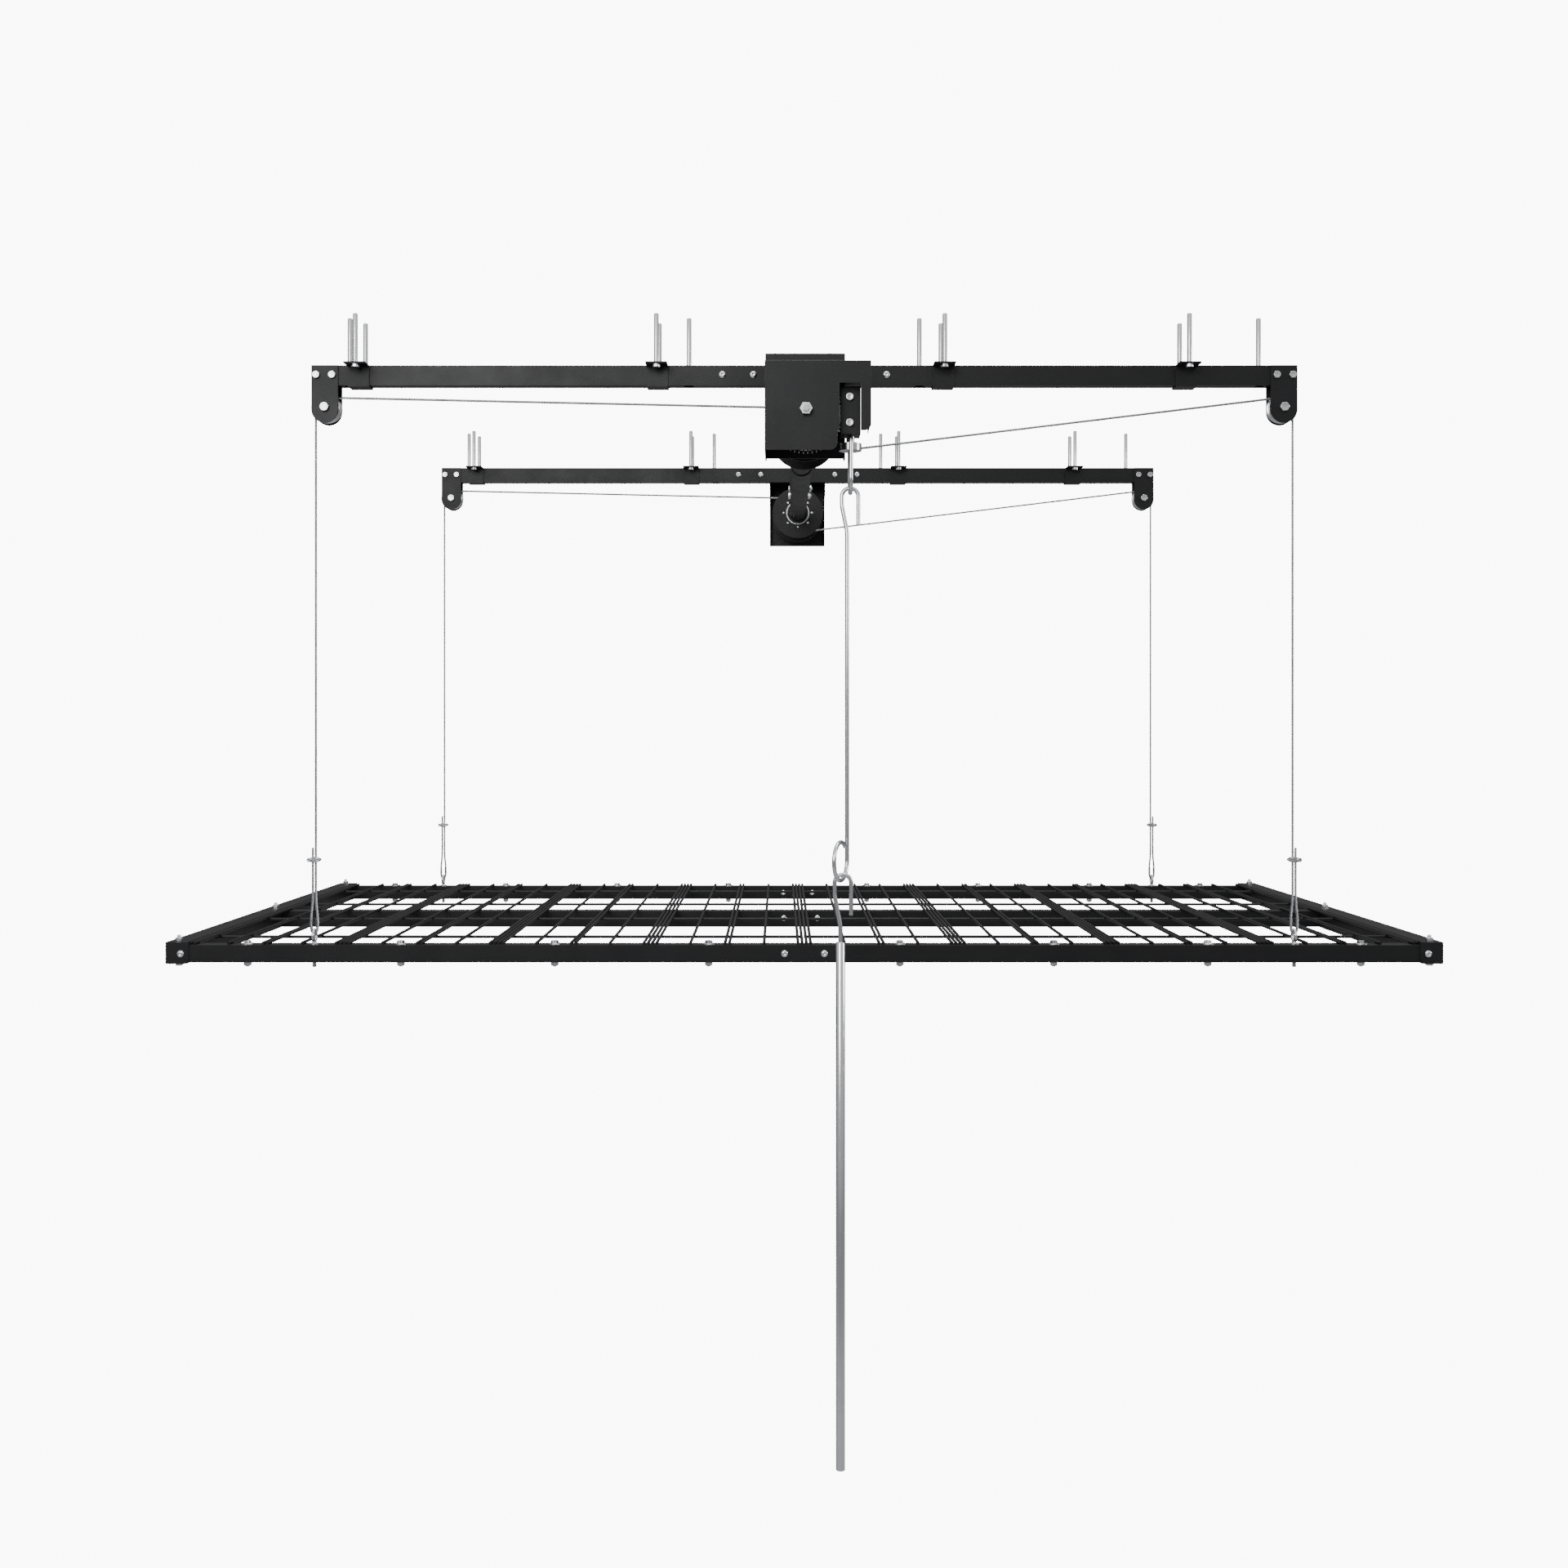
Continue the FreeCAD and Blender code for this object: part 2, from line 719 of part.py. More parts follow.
# Bright retaining ring and eight small screws on each drum's inner face.
HUB_RING = {"inner": 27.6, "outer": 31.5, "height": 4}
SCREW_CIRCLE = 37
ring_end = f"drum_width / 2 + {HUB_RING['height']}"
hub_ring = turned(rectangle(HUB_RING["inner"], HUB_RING["outer"], "drum_width / 2", ring_end))
hub_screws = [
    rod(
        4, 3,
        f"{SCREW_CIRCLE * math.cos(math.radians(45 * k)):.4f}",
        "drum_width / 2",
        f"{SCREW_CIRCLE * math.sin(math.radians(45 * k)):.4f}",
        "y",
    )
    for k in range(8)
]
hub_trim = group([hub_ring, *hub_screws])
node("drum_hub_trim", copies(hub_trim, [(0, FRONT, "-shaft_drop"), (0, REAR, "-shaft_drop", half_turn)]))

SLEEVE = (-198, 112)
TUBE_MEET = -39
tube_end = f"track_spread / 2 - drum_width / 2 + {TUBE_SEAT}"
bore_radius = "tube_radius - tube_wall"
front_tube = cut(
    rod("tube_radius", f"{tube_end} + {TUBE_MEET}", 0, f"-({tube_end})", "-shaft_drop", "y"),
    rod(bore_radius, f"{tube_end} + {TUBE_MEET}", 0, f"-({tube_end})", "-shaft_drop", "y"),
)
node("front_drive_tube", front_tube)
CROSS_BOLTS = (127, 244)
rear_tube = cut(
    rod("tube_radius", f"{tube_end} - {TUBE_MEET} - 1", 0, TUBE_MEET + 1, "-shaft_drop", "y"),
    rod(bore_radius, f"{tube_end} - {TUBE_MEET} - 1", 0, TUBE_MEET + 1, "-shaft_drop", "y"),
    *[rod(BOLT_HOLE, "2 * tube_radius + 4", "-tube_radius - 2", y, "-shaft_drop", "x") for y in CROSS_BOLTS],
)
node("rear_drive_tube", rear_tube)
sleeve = cut(
    rod("tube_radius + tube_wall", SLEEVE[1] - SLEEVE[0], 0, SLEEVE[0], "-shaft_drop", "y"),
    rod("tube_radius", SLEEVE[1] - SLEEVE[0], 0, SLEEVE[0], "-shaft_drop", "y"),
)
node("tube_sleeve", sleeve)
tube_across = "2 * tube_radius"
cross_bolt = screw(
    "bolt_across", HEAD_HEIGHT, "bolt_size", f"{tube_across} + 10", NUT_HEIGHT, tube_across, "x"
)
node("tube_cross_bolts", copies(cross_bolt, [("-tube_radius", y, "-shaft_drop") for y in CROSS_BOLTS]))

# The spindle carries the worm wheel between the front mount and the cover.
SPINDLE_SEAT = 36
THREADED_END = 6.5
spindle = fused(
    rod(
        "spindle_radius", f"cover_front + 0.5 - track_spread / 2 - drum_width / 2 + {SPINDLE_SEAT}",
        0, "-cover_front - 0.5", "-shaft_drop", "y",
    ),
    rod(THREADED_END, 16, 0, "-cover_front - 14.5", "-shaft_drop", "y"),
)
node("winch_spindle", spindle)
node(
    "spindle_nut",
    cut(
        hexagon(20, 10.5, 0, "-cover_front - 11.2", "-shaft_drop", "y"),
        rod(THREADED_END, 12, 0, "-cover_front - 12", "-shaft_drop", "y"),
    ),
)

# Wheel: plain teeth with wide gaps, so that the worm's thread runs clear of them.
pitch_radius = "gear_module * wheel_teeth / 2"
root_radius = f"{pitch_radius} - 1.25 * gear_module"
tip_radius = f"{pitch_radius} + gear_module"
wheel, tooth_sketch = sketched(
    "XZ_Plane",
    [
        (f"{root_radius} - 1", "-1.7"),
        (f"{tip_radius}", "-0.75"),
        (f"{tip_radius}", "0.75"),
        (f"{root_radius} - 1", "1.7"),
    ],
)
tooth = wheel.newObject("PartDesign::Pad", "Tooth")
tooth.Profile = tooth_sketch
tooth.Midplane = True
bind(tooth, Length="wheel_width")
wheel_axis = next(f for f in wheel.Origin.OriginFeatures if f.Role == "Y_Axis")
doc.recompute()
teeth = wheel.newObject("PartDesign::PolarPattern", "Teeth")
teeth.Originals = [tooth]
teeth.Axis = (wheel_axis, [""])
teeth.Angle = 360
bind(teeth, Occurrences="wheel_teeth")
wheel.Tip = teeth
rim = rod(f"{root_radius}", "wheel_width", 0, "-wheel_width / 2", 0, "y")
HUB = {"radius": 18, "length": 26}
hub = rod(HUB["radius"], HUB["length"], 0, -HUB["length"] / 2, 0, "y")
bore = rod("spindle_radius", 2 * HUB["length"], 0, -HUB["length"], 0, "y")
gear = cut(fused(rim, wheel, hub), bore)
node("worm_wheel", copies(gear, [(0, "-gear_plane", "-shaft_drop")]))

# Cable wound on each drum, either side of the middle, where the two runs leave it.
COIL = {"gap": 3, "width": 35}
coil = turned(
    rectangle(drum_core, "drum_pitch_radius + cable_size / 2", COIL["gap"], COIL["gap"] + COIL["width"])
)
far_coil = turned(
    rectangle(drum_core, "drum_pitch_radius + cable_size / 2", -COIL["gap"] - COIL["width"], -COIL["gap"])
)
node("drum_cable_coils", copies(group([coil, far_coil]), [(0, y, "-shaft_drop") for y in TRACKS.values()]))

# ------------------------------------------------------------------ worm, eye link and crank
worm_x, gear_y, shaft_z = value(WORM_X), -value("gear_plane"), -value("shaft_drop")
thread_pitch = value("gear_module") * math.pi
thread_length = thread_pitch * value("worm_turns")
thread_tip = value("worm_pitch_radius + gear_module")
thread_root = value("worm_pitch_radius - 1.25 * gear_module")
# At the wheel's side of the worm the thread has to lie midway between two teeth, and a tooth points at +X.
helix = Part.makeHelix(thread_pitch, thread_length, thread_root)
section = Part.makePolygon(
    [
        Vector(thread_root - 0.5, 0, -1.35),
        Vector(thread_tip, 0, -0.65),
        Vector(thread_tip, 0, 0.65),
        Vector(thread_root - 0.5, 0, 1.35),
        Vector(thread_root - 0.5, 0, -1.35),
    ]
)
thread = Part.Wire(helix).makePipeShell([section], True, True)
thread.rotate(Vector(), Vector(0, 0, 1), 180)
thread.translate(Vector(worm_x, gear_y, shaft_z - thread_length / 2))
SHAFT_TOP = -78
COLLAR = (-190, -177)
COLLAR_RADIUS = 20.5
collar_shaft = fused(
    shaped(thread, "Thread"),
    rod(thread_root, thread_length + 2, WORM_X, "-gear_plane", f"-shaft_drop - {thread_length / 2 + 1:.4f}"),
    rod("worm_shaft_radius", SHAFT_TOP - COLLAR[0], WORM_X, "-gear_plane", COLLAR[0]),
    rod(COLLAR_RADIUS, COLLAR[1] - COLLAR[0], WORM_X, "-gear_plane", COLLAR[0]),
)
LINK_TOP = -168
LINK_BOTTOM = -266
LINK_HALF = 25
rod_radius = value("crank_rod_size") / 2
node(
    "worm_shaft",
    cut(
        collar_shaft,
        rod("crank_rod_size / 2 + bolt_play / 2", 60, WORM_X, "-gear_plane - 30", LINK_TOP, "y"),
    ),
)

# The eye link is a closed loop of rod through the shaft's cross hole, round the collar.
link_corners = [
    Vector(worm_x, gear_y, LINK_TOP),
    Vector(worm_x, gear_y + LINK_HALF, LINK_TOP),
    Vector(worm_x, gear_y + LINK_HALF, LINK_BOTTOM),
    Vector(worm_x, gear_y - LINK_HALF, LINK_BOTTOM),
    Vector(worm_x, gear_y - LINK_HALF, LINK_TOP),
    Vector(worm_x, gear_y, LINK_TOP),
]
link_edges = rounded_path(link_corners, [11, LINK_HALF - 0.01, LINK_HALF - 0.01, 11])
node("eye_link", shaped(round_bar(link_edges, rod_radius, "eye link"), "EyeLink"))

# The upper crank rod hooks over the link and ends in an open ring turned out of the hook's plane.
HOOK_RADIUS = 15
hook_top = LINK_BOTTOM + 2 * rod_radius + 0.4
free_leg, long_leg, rod_line = 96, 66, 75.5
RING_RADIUS = 34.5
RING_TURN = math.radians(68)
ring_centre = Vector(
    rod_line - RING_RADIUS * math.cos(RING_TURN), gear_y - RING_RADIUS * math.sin(RING_TURN), -934
)


def on_ring(angle):
    """A point of the ring, at an angle measured downward from where the rod meets it."""
    across = RING_RADIUS * math.cos(math.radians(angle))
    down = RING_RADIUS * math.sin(math.radians(angle))
    return ring_centre + Vector(across * math.cos(RING_TURN), across * math.sin(RING_TURN), -down)


RING_END = 360 - 46
crank_edges = rounded_path(
    [
        Vector(free_leg, gear_y, -324),
        Vector(free_leg, gear_y, hook_top),
        Vector(long_leg, gear_y, hook_top),
        Vector(long_leg, gear_y, -290),
        Vector(rod_line, gear_y, -336),
        Vector(rod_line, gear_y, ring_centre.z),
    ],
    [HOOK_RADIUS - 0.01, HOOK_RADIUS - 0.01, 60, 60],
)
crank_edges.append(Part.Arc(on_ring(0), on_ring(RING_END / 4), on_ring(RING_END / 2)).toShape())
crank_edges.append(Part.Arc(on_ring(RING_END / 2), on_ring(3 * RING_END / 4), on_ring(RING_END)).toShape())
node("crank_rod", shaped(round_bar(crank_edges, rod_radius, "crank rod"), "CrankRod"))

# The pole hooks into the ring and is a long tube below.
pole_y = ring_centre.y
POLE_X = 62.3
POLE_TOP = -1079.5
pole_hook_top = ring_centre.z - RING_RADIUS + 2 * rod_radius + 2.5
pole_edges = rounded_path(
    [
        Vector(81.4, pole_y, -1031),
        Vector(81.4, pole_y, pole_hook_top),
        Vector(51.7, pole_y, pole_hook_top),
        Vector(51.7, pole_y, -995),
        Vector(POLE_X, pole_y, -1050),
        Vector(POLE_X, pole_y, POLE_TOP - 10),
    ],
    [14.8, 14.8, 60, 60],
)
pole_tube = cut(
    rod("pole_size / 2", f"pole_bottom + {POLE_TOP}", POLE_X, pole_y, "-pole_bottom"),
    rod("pole_size / 2 - 1.2", f"pole_bottom + {POLE_TOP} - 10", POLE_X, pole_y, "-pole_bottom"),
)
node("crank_pole", fused(shaped(round_bar(pole_edges, rod_radius, "pole hook"), "PoleHook"), pole_tube))

# ------------------------------------------------------------------ cables
# Left cables go over the drums and right cables under them, so that one turn winds all four.
cable_radius = value("cable_size") / 2
pulley_x, pulley_z = value("pulley_spread / 2"), -value("pulley_drop")
pulley_radius, drum_radius = value("pulley_pitch_radius"), value("drum_pitch_radius")
fall_x = pulley_x + pulley_radius


def cable_run(y, sign):
    """From the side of a pulley, over its top, and straight to the drum."""
    pulley = Vector(-pulley_x, y, pulley_z)
    drum_axis = Vector(0, y, shaft_z)
    drum_side = drum_radius if sign < 0 else -drum_radius
    apart = drum_axis - pulley
    angle = math.atan2(apart.z, apart.x) + math.asin((drum_side - pulley_radius) / apart.Length)
    up = Vector(-math.sin(angle), 0, math.cos(angle))
    halfway = math.radians(180 + math.degrees(angle) + 90) / 2
    side = Vector(-fall_x, y, pulley_z)
    shoulder = pulley + Vector(math.cos(halfway), 0, math.sin(halfway)) * pulley_radius
    edges = [
        Part.Arc(side, shoulder, pulley + up * pulley_radius).toShape(),
        Part.LineSegment(pulley + up * pulley_radius, drum_axis + up * drum_side).toShape(),
    ]
    solid = round_bar(edges, cable_radius, "cable run")
    return solid if sign < 0 else solid.mirror(Vector(), Vector(1, 0, 0))


runs = [
    shaped(cable_run(value(y), sign), "Run") for y in TRACKS.values() for sign in SIDES.values()
]
node("cable_runs", group(runs))

CLIP_Z = -946
LOOP_START = -938
fall = rod("cable_size / 2", f"{-LOOP_START} - pulley_drop", 0, 0, 0)
fall_spots = [
    (f"{sign} * (pulley_spread / 2 + pulley_pitch_radius)", y, LOOP_START)
    for y in TRACKS.values()
    for sign in SIDES.values()
]
node("cable_falls", copies(fall, fall_spots))

# Below the clip the cable goes round a thimble in the eye bolt and comes back up beside itself.
EYE_Z = -1092
EYE_RADIUS = 11
EYE_BAR = 3
STRAND_GAP = 5.8
LOOP_RADIUS = 6.5
TAIL_TOP = -923
bar_z = EYE_Z + EYE_RADIUS
middle_x = fall_x + STRAND_GAP / 2


def loop_edges():
    left, right = middle_x - LOOP_RADIUS, middle_x + LOOP_RADIUS
    corners = [
        Vector(fall_x, 0, LOOP_START),
        Vector(fall_x, 0, -1028),
        Vector(left, 0, -1056),
        Vector(left, 0, bar_z - LOOP_RADIUS),
        Vector(right, 0, bar_z - LOOP_RADIUS),
        Vector(right, 0, -1056),
        Vector(fall_x + STRAND_GAP, 0, -1028),
        Vector(fall_x + STRAND_GAP, 0, TAIL_TOP),
    ]
    return rounded_path(corners, [60, 60, LOOP_RADIUS - 0.01, LOOP_RADIUS - 0.01, 60, 60])


loop = shaped(round_bar(loop_edges(), cable_radius, "cable end loop"), "EndLoop")


def four_corners(piece):
    """A piece drawn for the right side at y = 0, at all four corners."""
    return copies(group([piece, mirrored(piece)]), [(0, y, 0) for y in TRACKS.values()])


node("cable_end_loops", four_corners(loop))

# A formed channel between the cable and the eye.
thimble_outer = LOOP_RADIUS - value("cable_size") / 2
thimble_inner = thimble_outer - 0.5
thimble_width = 5
thimble = cut(
    fused(
        rod(thimble_outer, thimble_width, middle_x, -thimble_width / 2, bar_z, "y"),
        box(2 * thimble_outer, thimble_width, 22, middle_x - thimble_outer, -thimble_width / 2, bar_z),
    ),
    rod(thimble_inner, thimble_width + 2, middle_x, -thimble_width / 2 - 1, bar_z, "y"),
    box(2 * thimble_inner, thimble_width + 2, 24, middle_x - thimble_inner, -thimble_width / 2 - 1, bar_z),
)
node("thimbles", four_corners(thimble))

CLIP_WIDTH, CLIP_DEPTH, CLIP_HEIGHT = 26, 11, 14
CLIP_NUT = {"across": 8, "height": 5, "spread": 8.5}
clip_face = -CLIP_DEPTH / 2
clip_blank = fused(
    box(
        CLIP_WIDTH, CLIP_DEPTH, CLIP_HEIGHT,
        middle_x - CLIP_WIDTH / 2, clip_face, CLIP_Z - CLIP_HEIGHT / 2,
    ),
    *[
        hexagon(
            CLIP_NUT["across"], CLIP_NUT["height"],
            middle_x + s * CLIP_NUT["spread"], clip_face - CLIP_NUT["height"], CLIP_Z, "y",
        )
        for s in (-1, 1)
    ],
)
clip = cut(
    clip_blank,
    *[rod("cable_size / 2 + 0.05", 40, fall_x + s * STRAND_GAP, 0, CLIP_Z - 20) for s in (0, 1)],
)
node("cable_clips", four_corners(clip))

# ------------------------------------------------------------------ deck rails
# The front, middle and rear rails are each two tubes with a sleeve inside the joint.
RAILS = {"front": (FRONT, "rail_height"), "mid": ("0", "mid_rail_height"), "rear": (REAR, "rail_height")}
RAIL_BOLT_X = 38
RAIL_BOLT_Z = -1124
PANEL_BOLTS = (183.5, 479, 774.6, 1068.6)
rail_half = "deck_length / 2 - side_width"
rail_under = "-rail_top - rail_height"
eye_x = f"{middle_x:.3f}"

for name, (y, height) in RAILS.items():
    for side, sign in SIDES.items():
        start = f"-({rail_half})" if sign < 0 else 0
        tube = bar("rail_depth", height, "rail_wall", rail_half, start, y, "-rail_top")
        face = f"{y} - rail_depth / 2"
        holes = [rod(BOLT_HOLE, "rail_depth + 2", sign * RAIL_BOLT_X, f"{face} - 1", RAIL_BOLT_Z, "y")]
        if name != "mid":
            for x in (*PANEL_BOLTS, eye_x):
                holes.append(rod(BOLT_HOLE, "rail_height + 2", f"{sign} * {x}", y, f"{rail_under} - 1"))
        node(f"{name}_rail_{side}", cut(tube, *holes))

SLEEVE_REACH = 60
sleeves = []
for name, (y, height) in RAILS.items():
    inner_sleeve = bar(
        "rail_depth - 2 * rail_wall", f"{height} - 2 * rail_wall", "rail_wall",
        2 * SLEEVE_REACH, -SLEEVE_REACH, y, "-rail_top - rail_wall",
    )
    sleeves.append(
        cut(
            inner_sleeve,
            *[
                rod(BOLT_HOLE, "rail_depth", s * RAIL_BOLT_X, f"{y} - rail_depth / 2", RAIL_BOLT_Z, "y")
                for s in (-1, 1)
            ],
        )
    )
node("rail_joiners", group(sleeves))

# ------------------------------------------------------------------ side rails
TAB_CHAMFER = 8
TAB_BOLT_X = 1190
POST_BOLT_X = 1200
POST_YS = (FRONT, "0", REAR)
side_length = "deck_depth - 2 * tab_wall"
for side, sign in SIDES.items():
    tube = bar(
        "side_width", "side_height", "rail_wall", side_length,
        f"{sign} * (deck_length / 2 - side_width / 2)", f"-({side_length}) / 2", "-side_top", "y",
    )
    tab = padded(
        "XZ_Plane",
        "tab_wall",
        [
            ("deck_length / 2 - tab_width", "-side_top"),
            ("deck_length / 2", "-side_top"),
            ("deck_length / 2", "-side_top - side_height"),
            (f"deck_length / 2 - tab_width + {TAB_CHAMFER}", "-side_top - side_height"),
            ("deck_length / 2 - tab_width", f"-side_top - side_height + {TAB_CHAMFER}"),
        ],
    )
    if sign < 0:
        tab = mirrored(tab)
    tabs = copies(tab, [(0, f"-({side_length}) / 2", 0), (0, "deck_depth / 2", 0)])
    holes = [
        rod(BOLT_HOLE, "side_height + 2", sign * POST_BOLT_X, y, "-side_top - side_height - 1")
        for y in POST_YS
    ]
    holes += [
        rod(BOLT_HOLE, "4 * tab_wall", sign * TAB_BOLT_X, y, RAIL_BOLT_Z, "y")
        for y in ("-deck_depth / 2 - tab_wall", "deck_depth / 2 - 3 * tab_wall")
    ]
    node(f"side_rail_{side}", cut(fused(tube, tabs), *holes))

rail_bolt = button_bolt("rail_depth")
tab_bolt = button_bolt("tab_wall")
node(
    "rail_button_bolts",
    group(
        [
            copies(
                rail_bolt,
                [
                    (s * RAIL_BOLT_X, f"{y} - rail_depth / 2", RAIL_BOLT_Z)
                    for y, _ in RAILS.values()
                    for s in (-1, 1)
                ],
            ),
            copies(
                tab_bolt,
                [(s * TAB_BOLT_X, "-deck_depth / 2", RAIL_BOLT_Z) for s in (-1, 1)]
                + [(s * TAB_BOLT_X, "deck_depth / 2", RAIL_BOLT_Z, half_turn) for s in (-1, 1)],
            ),
        ]
    ),
)

# Long bolts up through the side rails, with their nuts on top.
post_bolt = fused(
    hexagon("bolt_across", HEAD_HEIGHT, 0, 0, f"-side_top - side_height - {HEAD_HEIGHT}"),
    rod("bolt_size / 2", "side_height + 12", 0, 0, "-side_top - side_height"),
    hexagon("bolt_across", NUT_HEIGHT, 0, 0, "-side_top"),
)
node("side_rail_bolts", copies(post_bolt, [(s * POST_BOLT_X, y, 0) for s in (-1, 1) for y in POST_YS]))

# ------------------------------------------------------------------ wire panels
# Wires along Y lie on the rails; four wires along X are welded under them.
WIRES_ALONG_Y = (4.1, 12.2, 77, 143.3, 151.7, 218, 282.8, 290.9)
WIRES_ALONG_X = (-457.5, -152.5, 152.5, 457.5)
PANEL_REACH = 597.5
WELD = 0.4
upper_z = "-rail_top + wire_size / 2"
lower_z = f"-rail_top - wire_size / 2 + {WELD}"
panel = fused(
    *[rod("wire_size / 2", 2 * PANEL_REACH, x, -PANEL_REACH, upper_z, "y") for x in WIRES_ALONG_Y],
    *[rod("wire_size / 2", "panel_pitch - 2", 1, y, lower_z, "x") for y in WIRES_ALONG_X],
)
for number in range(8):
    node(f"wire_panel_{number + 1}", copies(panel, [(f"{number - 4} * panel_pitch", 0, 0)]))

# Each panel is held by a bolt with a wide washer on the front and rear rails.
WASHER = {"radius": 13, "height": 1.6}
panel_bolt = fused(
    rod(WASHER["radius"], WASHER["height"], 0, 0, "-rail_top"),
    hexagon("bolt_across", HEAD_HEIGHT, 0, 0, f"-rail_top + {WASHER['height']}"),
    rod("bolt_size / 2", "rail_height + 10", 0, 0, f"{rail_under} - 10"),
    hexagon("bolt_across", 8, 0, 0, f"{rail_under} - 8"),
)
node(
    "panel_bolts",
    copies(
        panel_bolt,
        [(s * x, y, 0) for y in TRACKS.values() for x in PANEL_BOLTS for s in (-1, 1)],
    ),
)

# ------------------------------------------------------------------ eye bolts that the cables lift
eye = doc.addObject("Part::Torus", "Eye")
eye.Radius1 = EYE_RADIUS
eye.Radius2 = EYE_BAR
put(eye, middle_x, 0, EYE_Z, Rotation(Vector(0, 1, 0), 90))
eye_foot = EYE_Z - EYE_RADIUS - EYE_BAR
eye_bolt = fused(
    eye,
    rod(9, 2, middle_x, 0, "-rail_top"),
    rod("bolt_size / 2", f"{eye_foot + 2} - ({rail_under}) + 11", middle_x, 0, f"{rail_under} - 11"),
    hexagon("bolt_across", NUT_HEIGHT, middle_x, 0, f"-rail_top - rail_wall - {NUT_HEIGHT}"),
)
node("eye_bolts", four_corners(eye_bolt))

# ------------------------------------------------------------------ check and write
doc.recompute()
failed = [thing.Name for thing in doc.Objects if {"Invalid", "Error"} & set(thing.State)]
if failed:
    raise RuntimeError(f"these objects failed: {failed}")
for thing in NODES:
    if thing.Shape.isNull() or not thing.Shape.isValid() or not thing.Shape.Solids:
        raise RuntimeError(f"{thing.Label} has no valid solid")
os.makedirs("parts", exist_ok=True)
for thing in NODES:
    thing.Shape.exportStep(f"parts/{thing.Label}.step")
print(f"{len(NODES)} sub-parts")
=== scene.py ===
import json
import math

import bmesh
import bpy
from mathutils import Matrix, Vector

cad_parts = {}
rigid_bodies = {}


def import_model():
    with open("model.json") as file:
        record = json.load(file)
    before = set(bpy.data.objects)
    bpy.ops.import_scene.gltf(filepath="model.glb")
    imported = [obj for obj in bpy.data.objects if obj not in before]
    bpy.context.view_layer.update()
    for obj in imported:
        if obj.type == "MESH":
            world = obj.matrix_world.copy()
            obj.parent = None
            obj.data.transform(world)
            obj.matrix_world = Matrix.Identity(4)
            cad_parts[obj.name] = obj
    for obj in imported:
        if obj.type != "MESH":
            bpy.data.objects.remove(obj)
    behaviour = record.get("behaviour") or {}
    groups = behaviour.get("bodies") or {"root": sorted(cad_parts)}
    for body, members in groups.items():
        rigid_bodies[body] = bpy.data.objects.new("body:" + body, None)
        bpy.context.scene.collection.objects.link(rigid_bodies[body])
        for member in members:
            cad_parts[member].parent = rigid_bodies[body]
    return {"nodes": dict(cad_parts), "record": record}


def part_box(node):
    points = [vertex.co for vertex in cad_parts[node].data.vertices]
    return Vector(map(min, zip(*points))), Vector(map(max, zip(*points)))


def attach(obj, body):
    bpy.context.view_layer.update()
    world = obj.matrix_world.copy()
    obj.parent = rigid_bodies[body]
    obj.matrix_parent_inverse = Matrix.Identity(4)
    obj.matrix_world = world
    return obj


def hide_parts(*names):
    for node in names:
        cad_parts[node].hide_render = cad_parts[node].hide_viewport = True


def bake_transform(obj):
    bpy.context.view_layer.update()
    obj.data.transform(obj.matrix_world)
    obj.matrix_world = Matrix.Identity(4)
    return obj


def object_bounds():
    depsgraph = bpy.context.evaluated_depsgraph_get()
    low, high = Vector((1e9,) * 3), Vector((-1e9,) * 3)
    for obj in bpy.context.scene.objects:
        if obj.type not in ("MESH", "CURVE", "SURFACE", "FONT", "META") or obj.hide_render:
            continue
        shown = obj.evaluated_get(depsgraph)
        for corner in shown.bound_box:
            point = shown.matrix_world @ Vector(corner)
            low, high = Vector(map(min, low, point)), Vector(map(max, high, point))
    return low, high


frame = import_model()
cad_low, cad_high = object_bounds()
MM = 0.001
nodes = frame["nodes"]
body_of = {name: body for body, names in frame["record"]["behaviour"]["bodies"].items() for name in names}

# ------------------------------------------------------------------ studio
# The rack hangs from a ceiling that isn't modelled, so there is only a wide pale floor below it, and a
# white room round it that is brighter from above and in front than from below and behind. The floor is far
# enough below the crank to clear the deck at its lowest.
FLOOR_DROP, FLOOR_REACH = 0.9, 60
floor_mesh = bpy.data.meshes.new("studio_floor")
floor_mesh.from_pydata(
    [
        (x * FLOOR_REACH, y * FLOOR_REACH, cad_low.z - FLOOR_DROP)
        for x, y in ((-1, -1), (1, -1), (1, 1), (-1, 1))
    ],
    [],
    [(0, 1, 2, 3)],
)
floor = bpy.data.objects.new("studio_floor", floor_mesh)
bpy.context.scene.collection.objects.link(floor)


def fresh_material(name):
    """An empty node material, with its tree's nodes and links and its output."""
    material = bpy.data.materials.new(name)
    material.use_nodes = True
    tree = material.node_tree
    tree.nodes.clear()
    return material, tree.nodes, tree.links, tree.nodes.new("ShaderNodeOutputMaterial")


def worked_out(maker, wire, operation, *values):
    """What a Math node makes of its values, each a number or another node's output."""
    step = maker.new("ShaderNodeMath")
    step.operation = operation
    for socket, value in zip(step.inputs, values):
        if isinstance(value, (int, float)):
            socket.default_value = value
        else:
            wire.new(value, socket)
    return step.outputs[0]


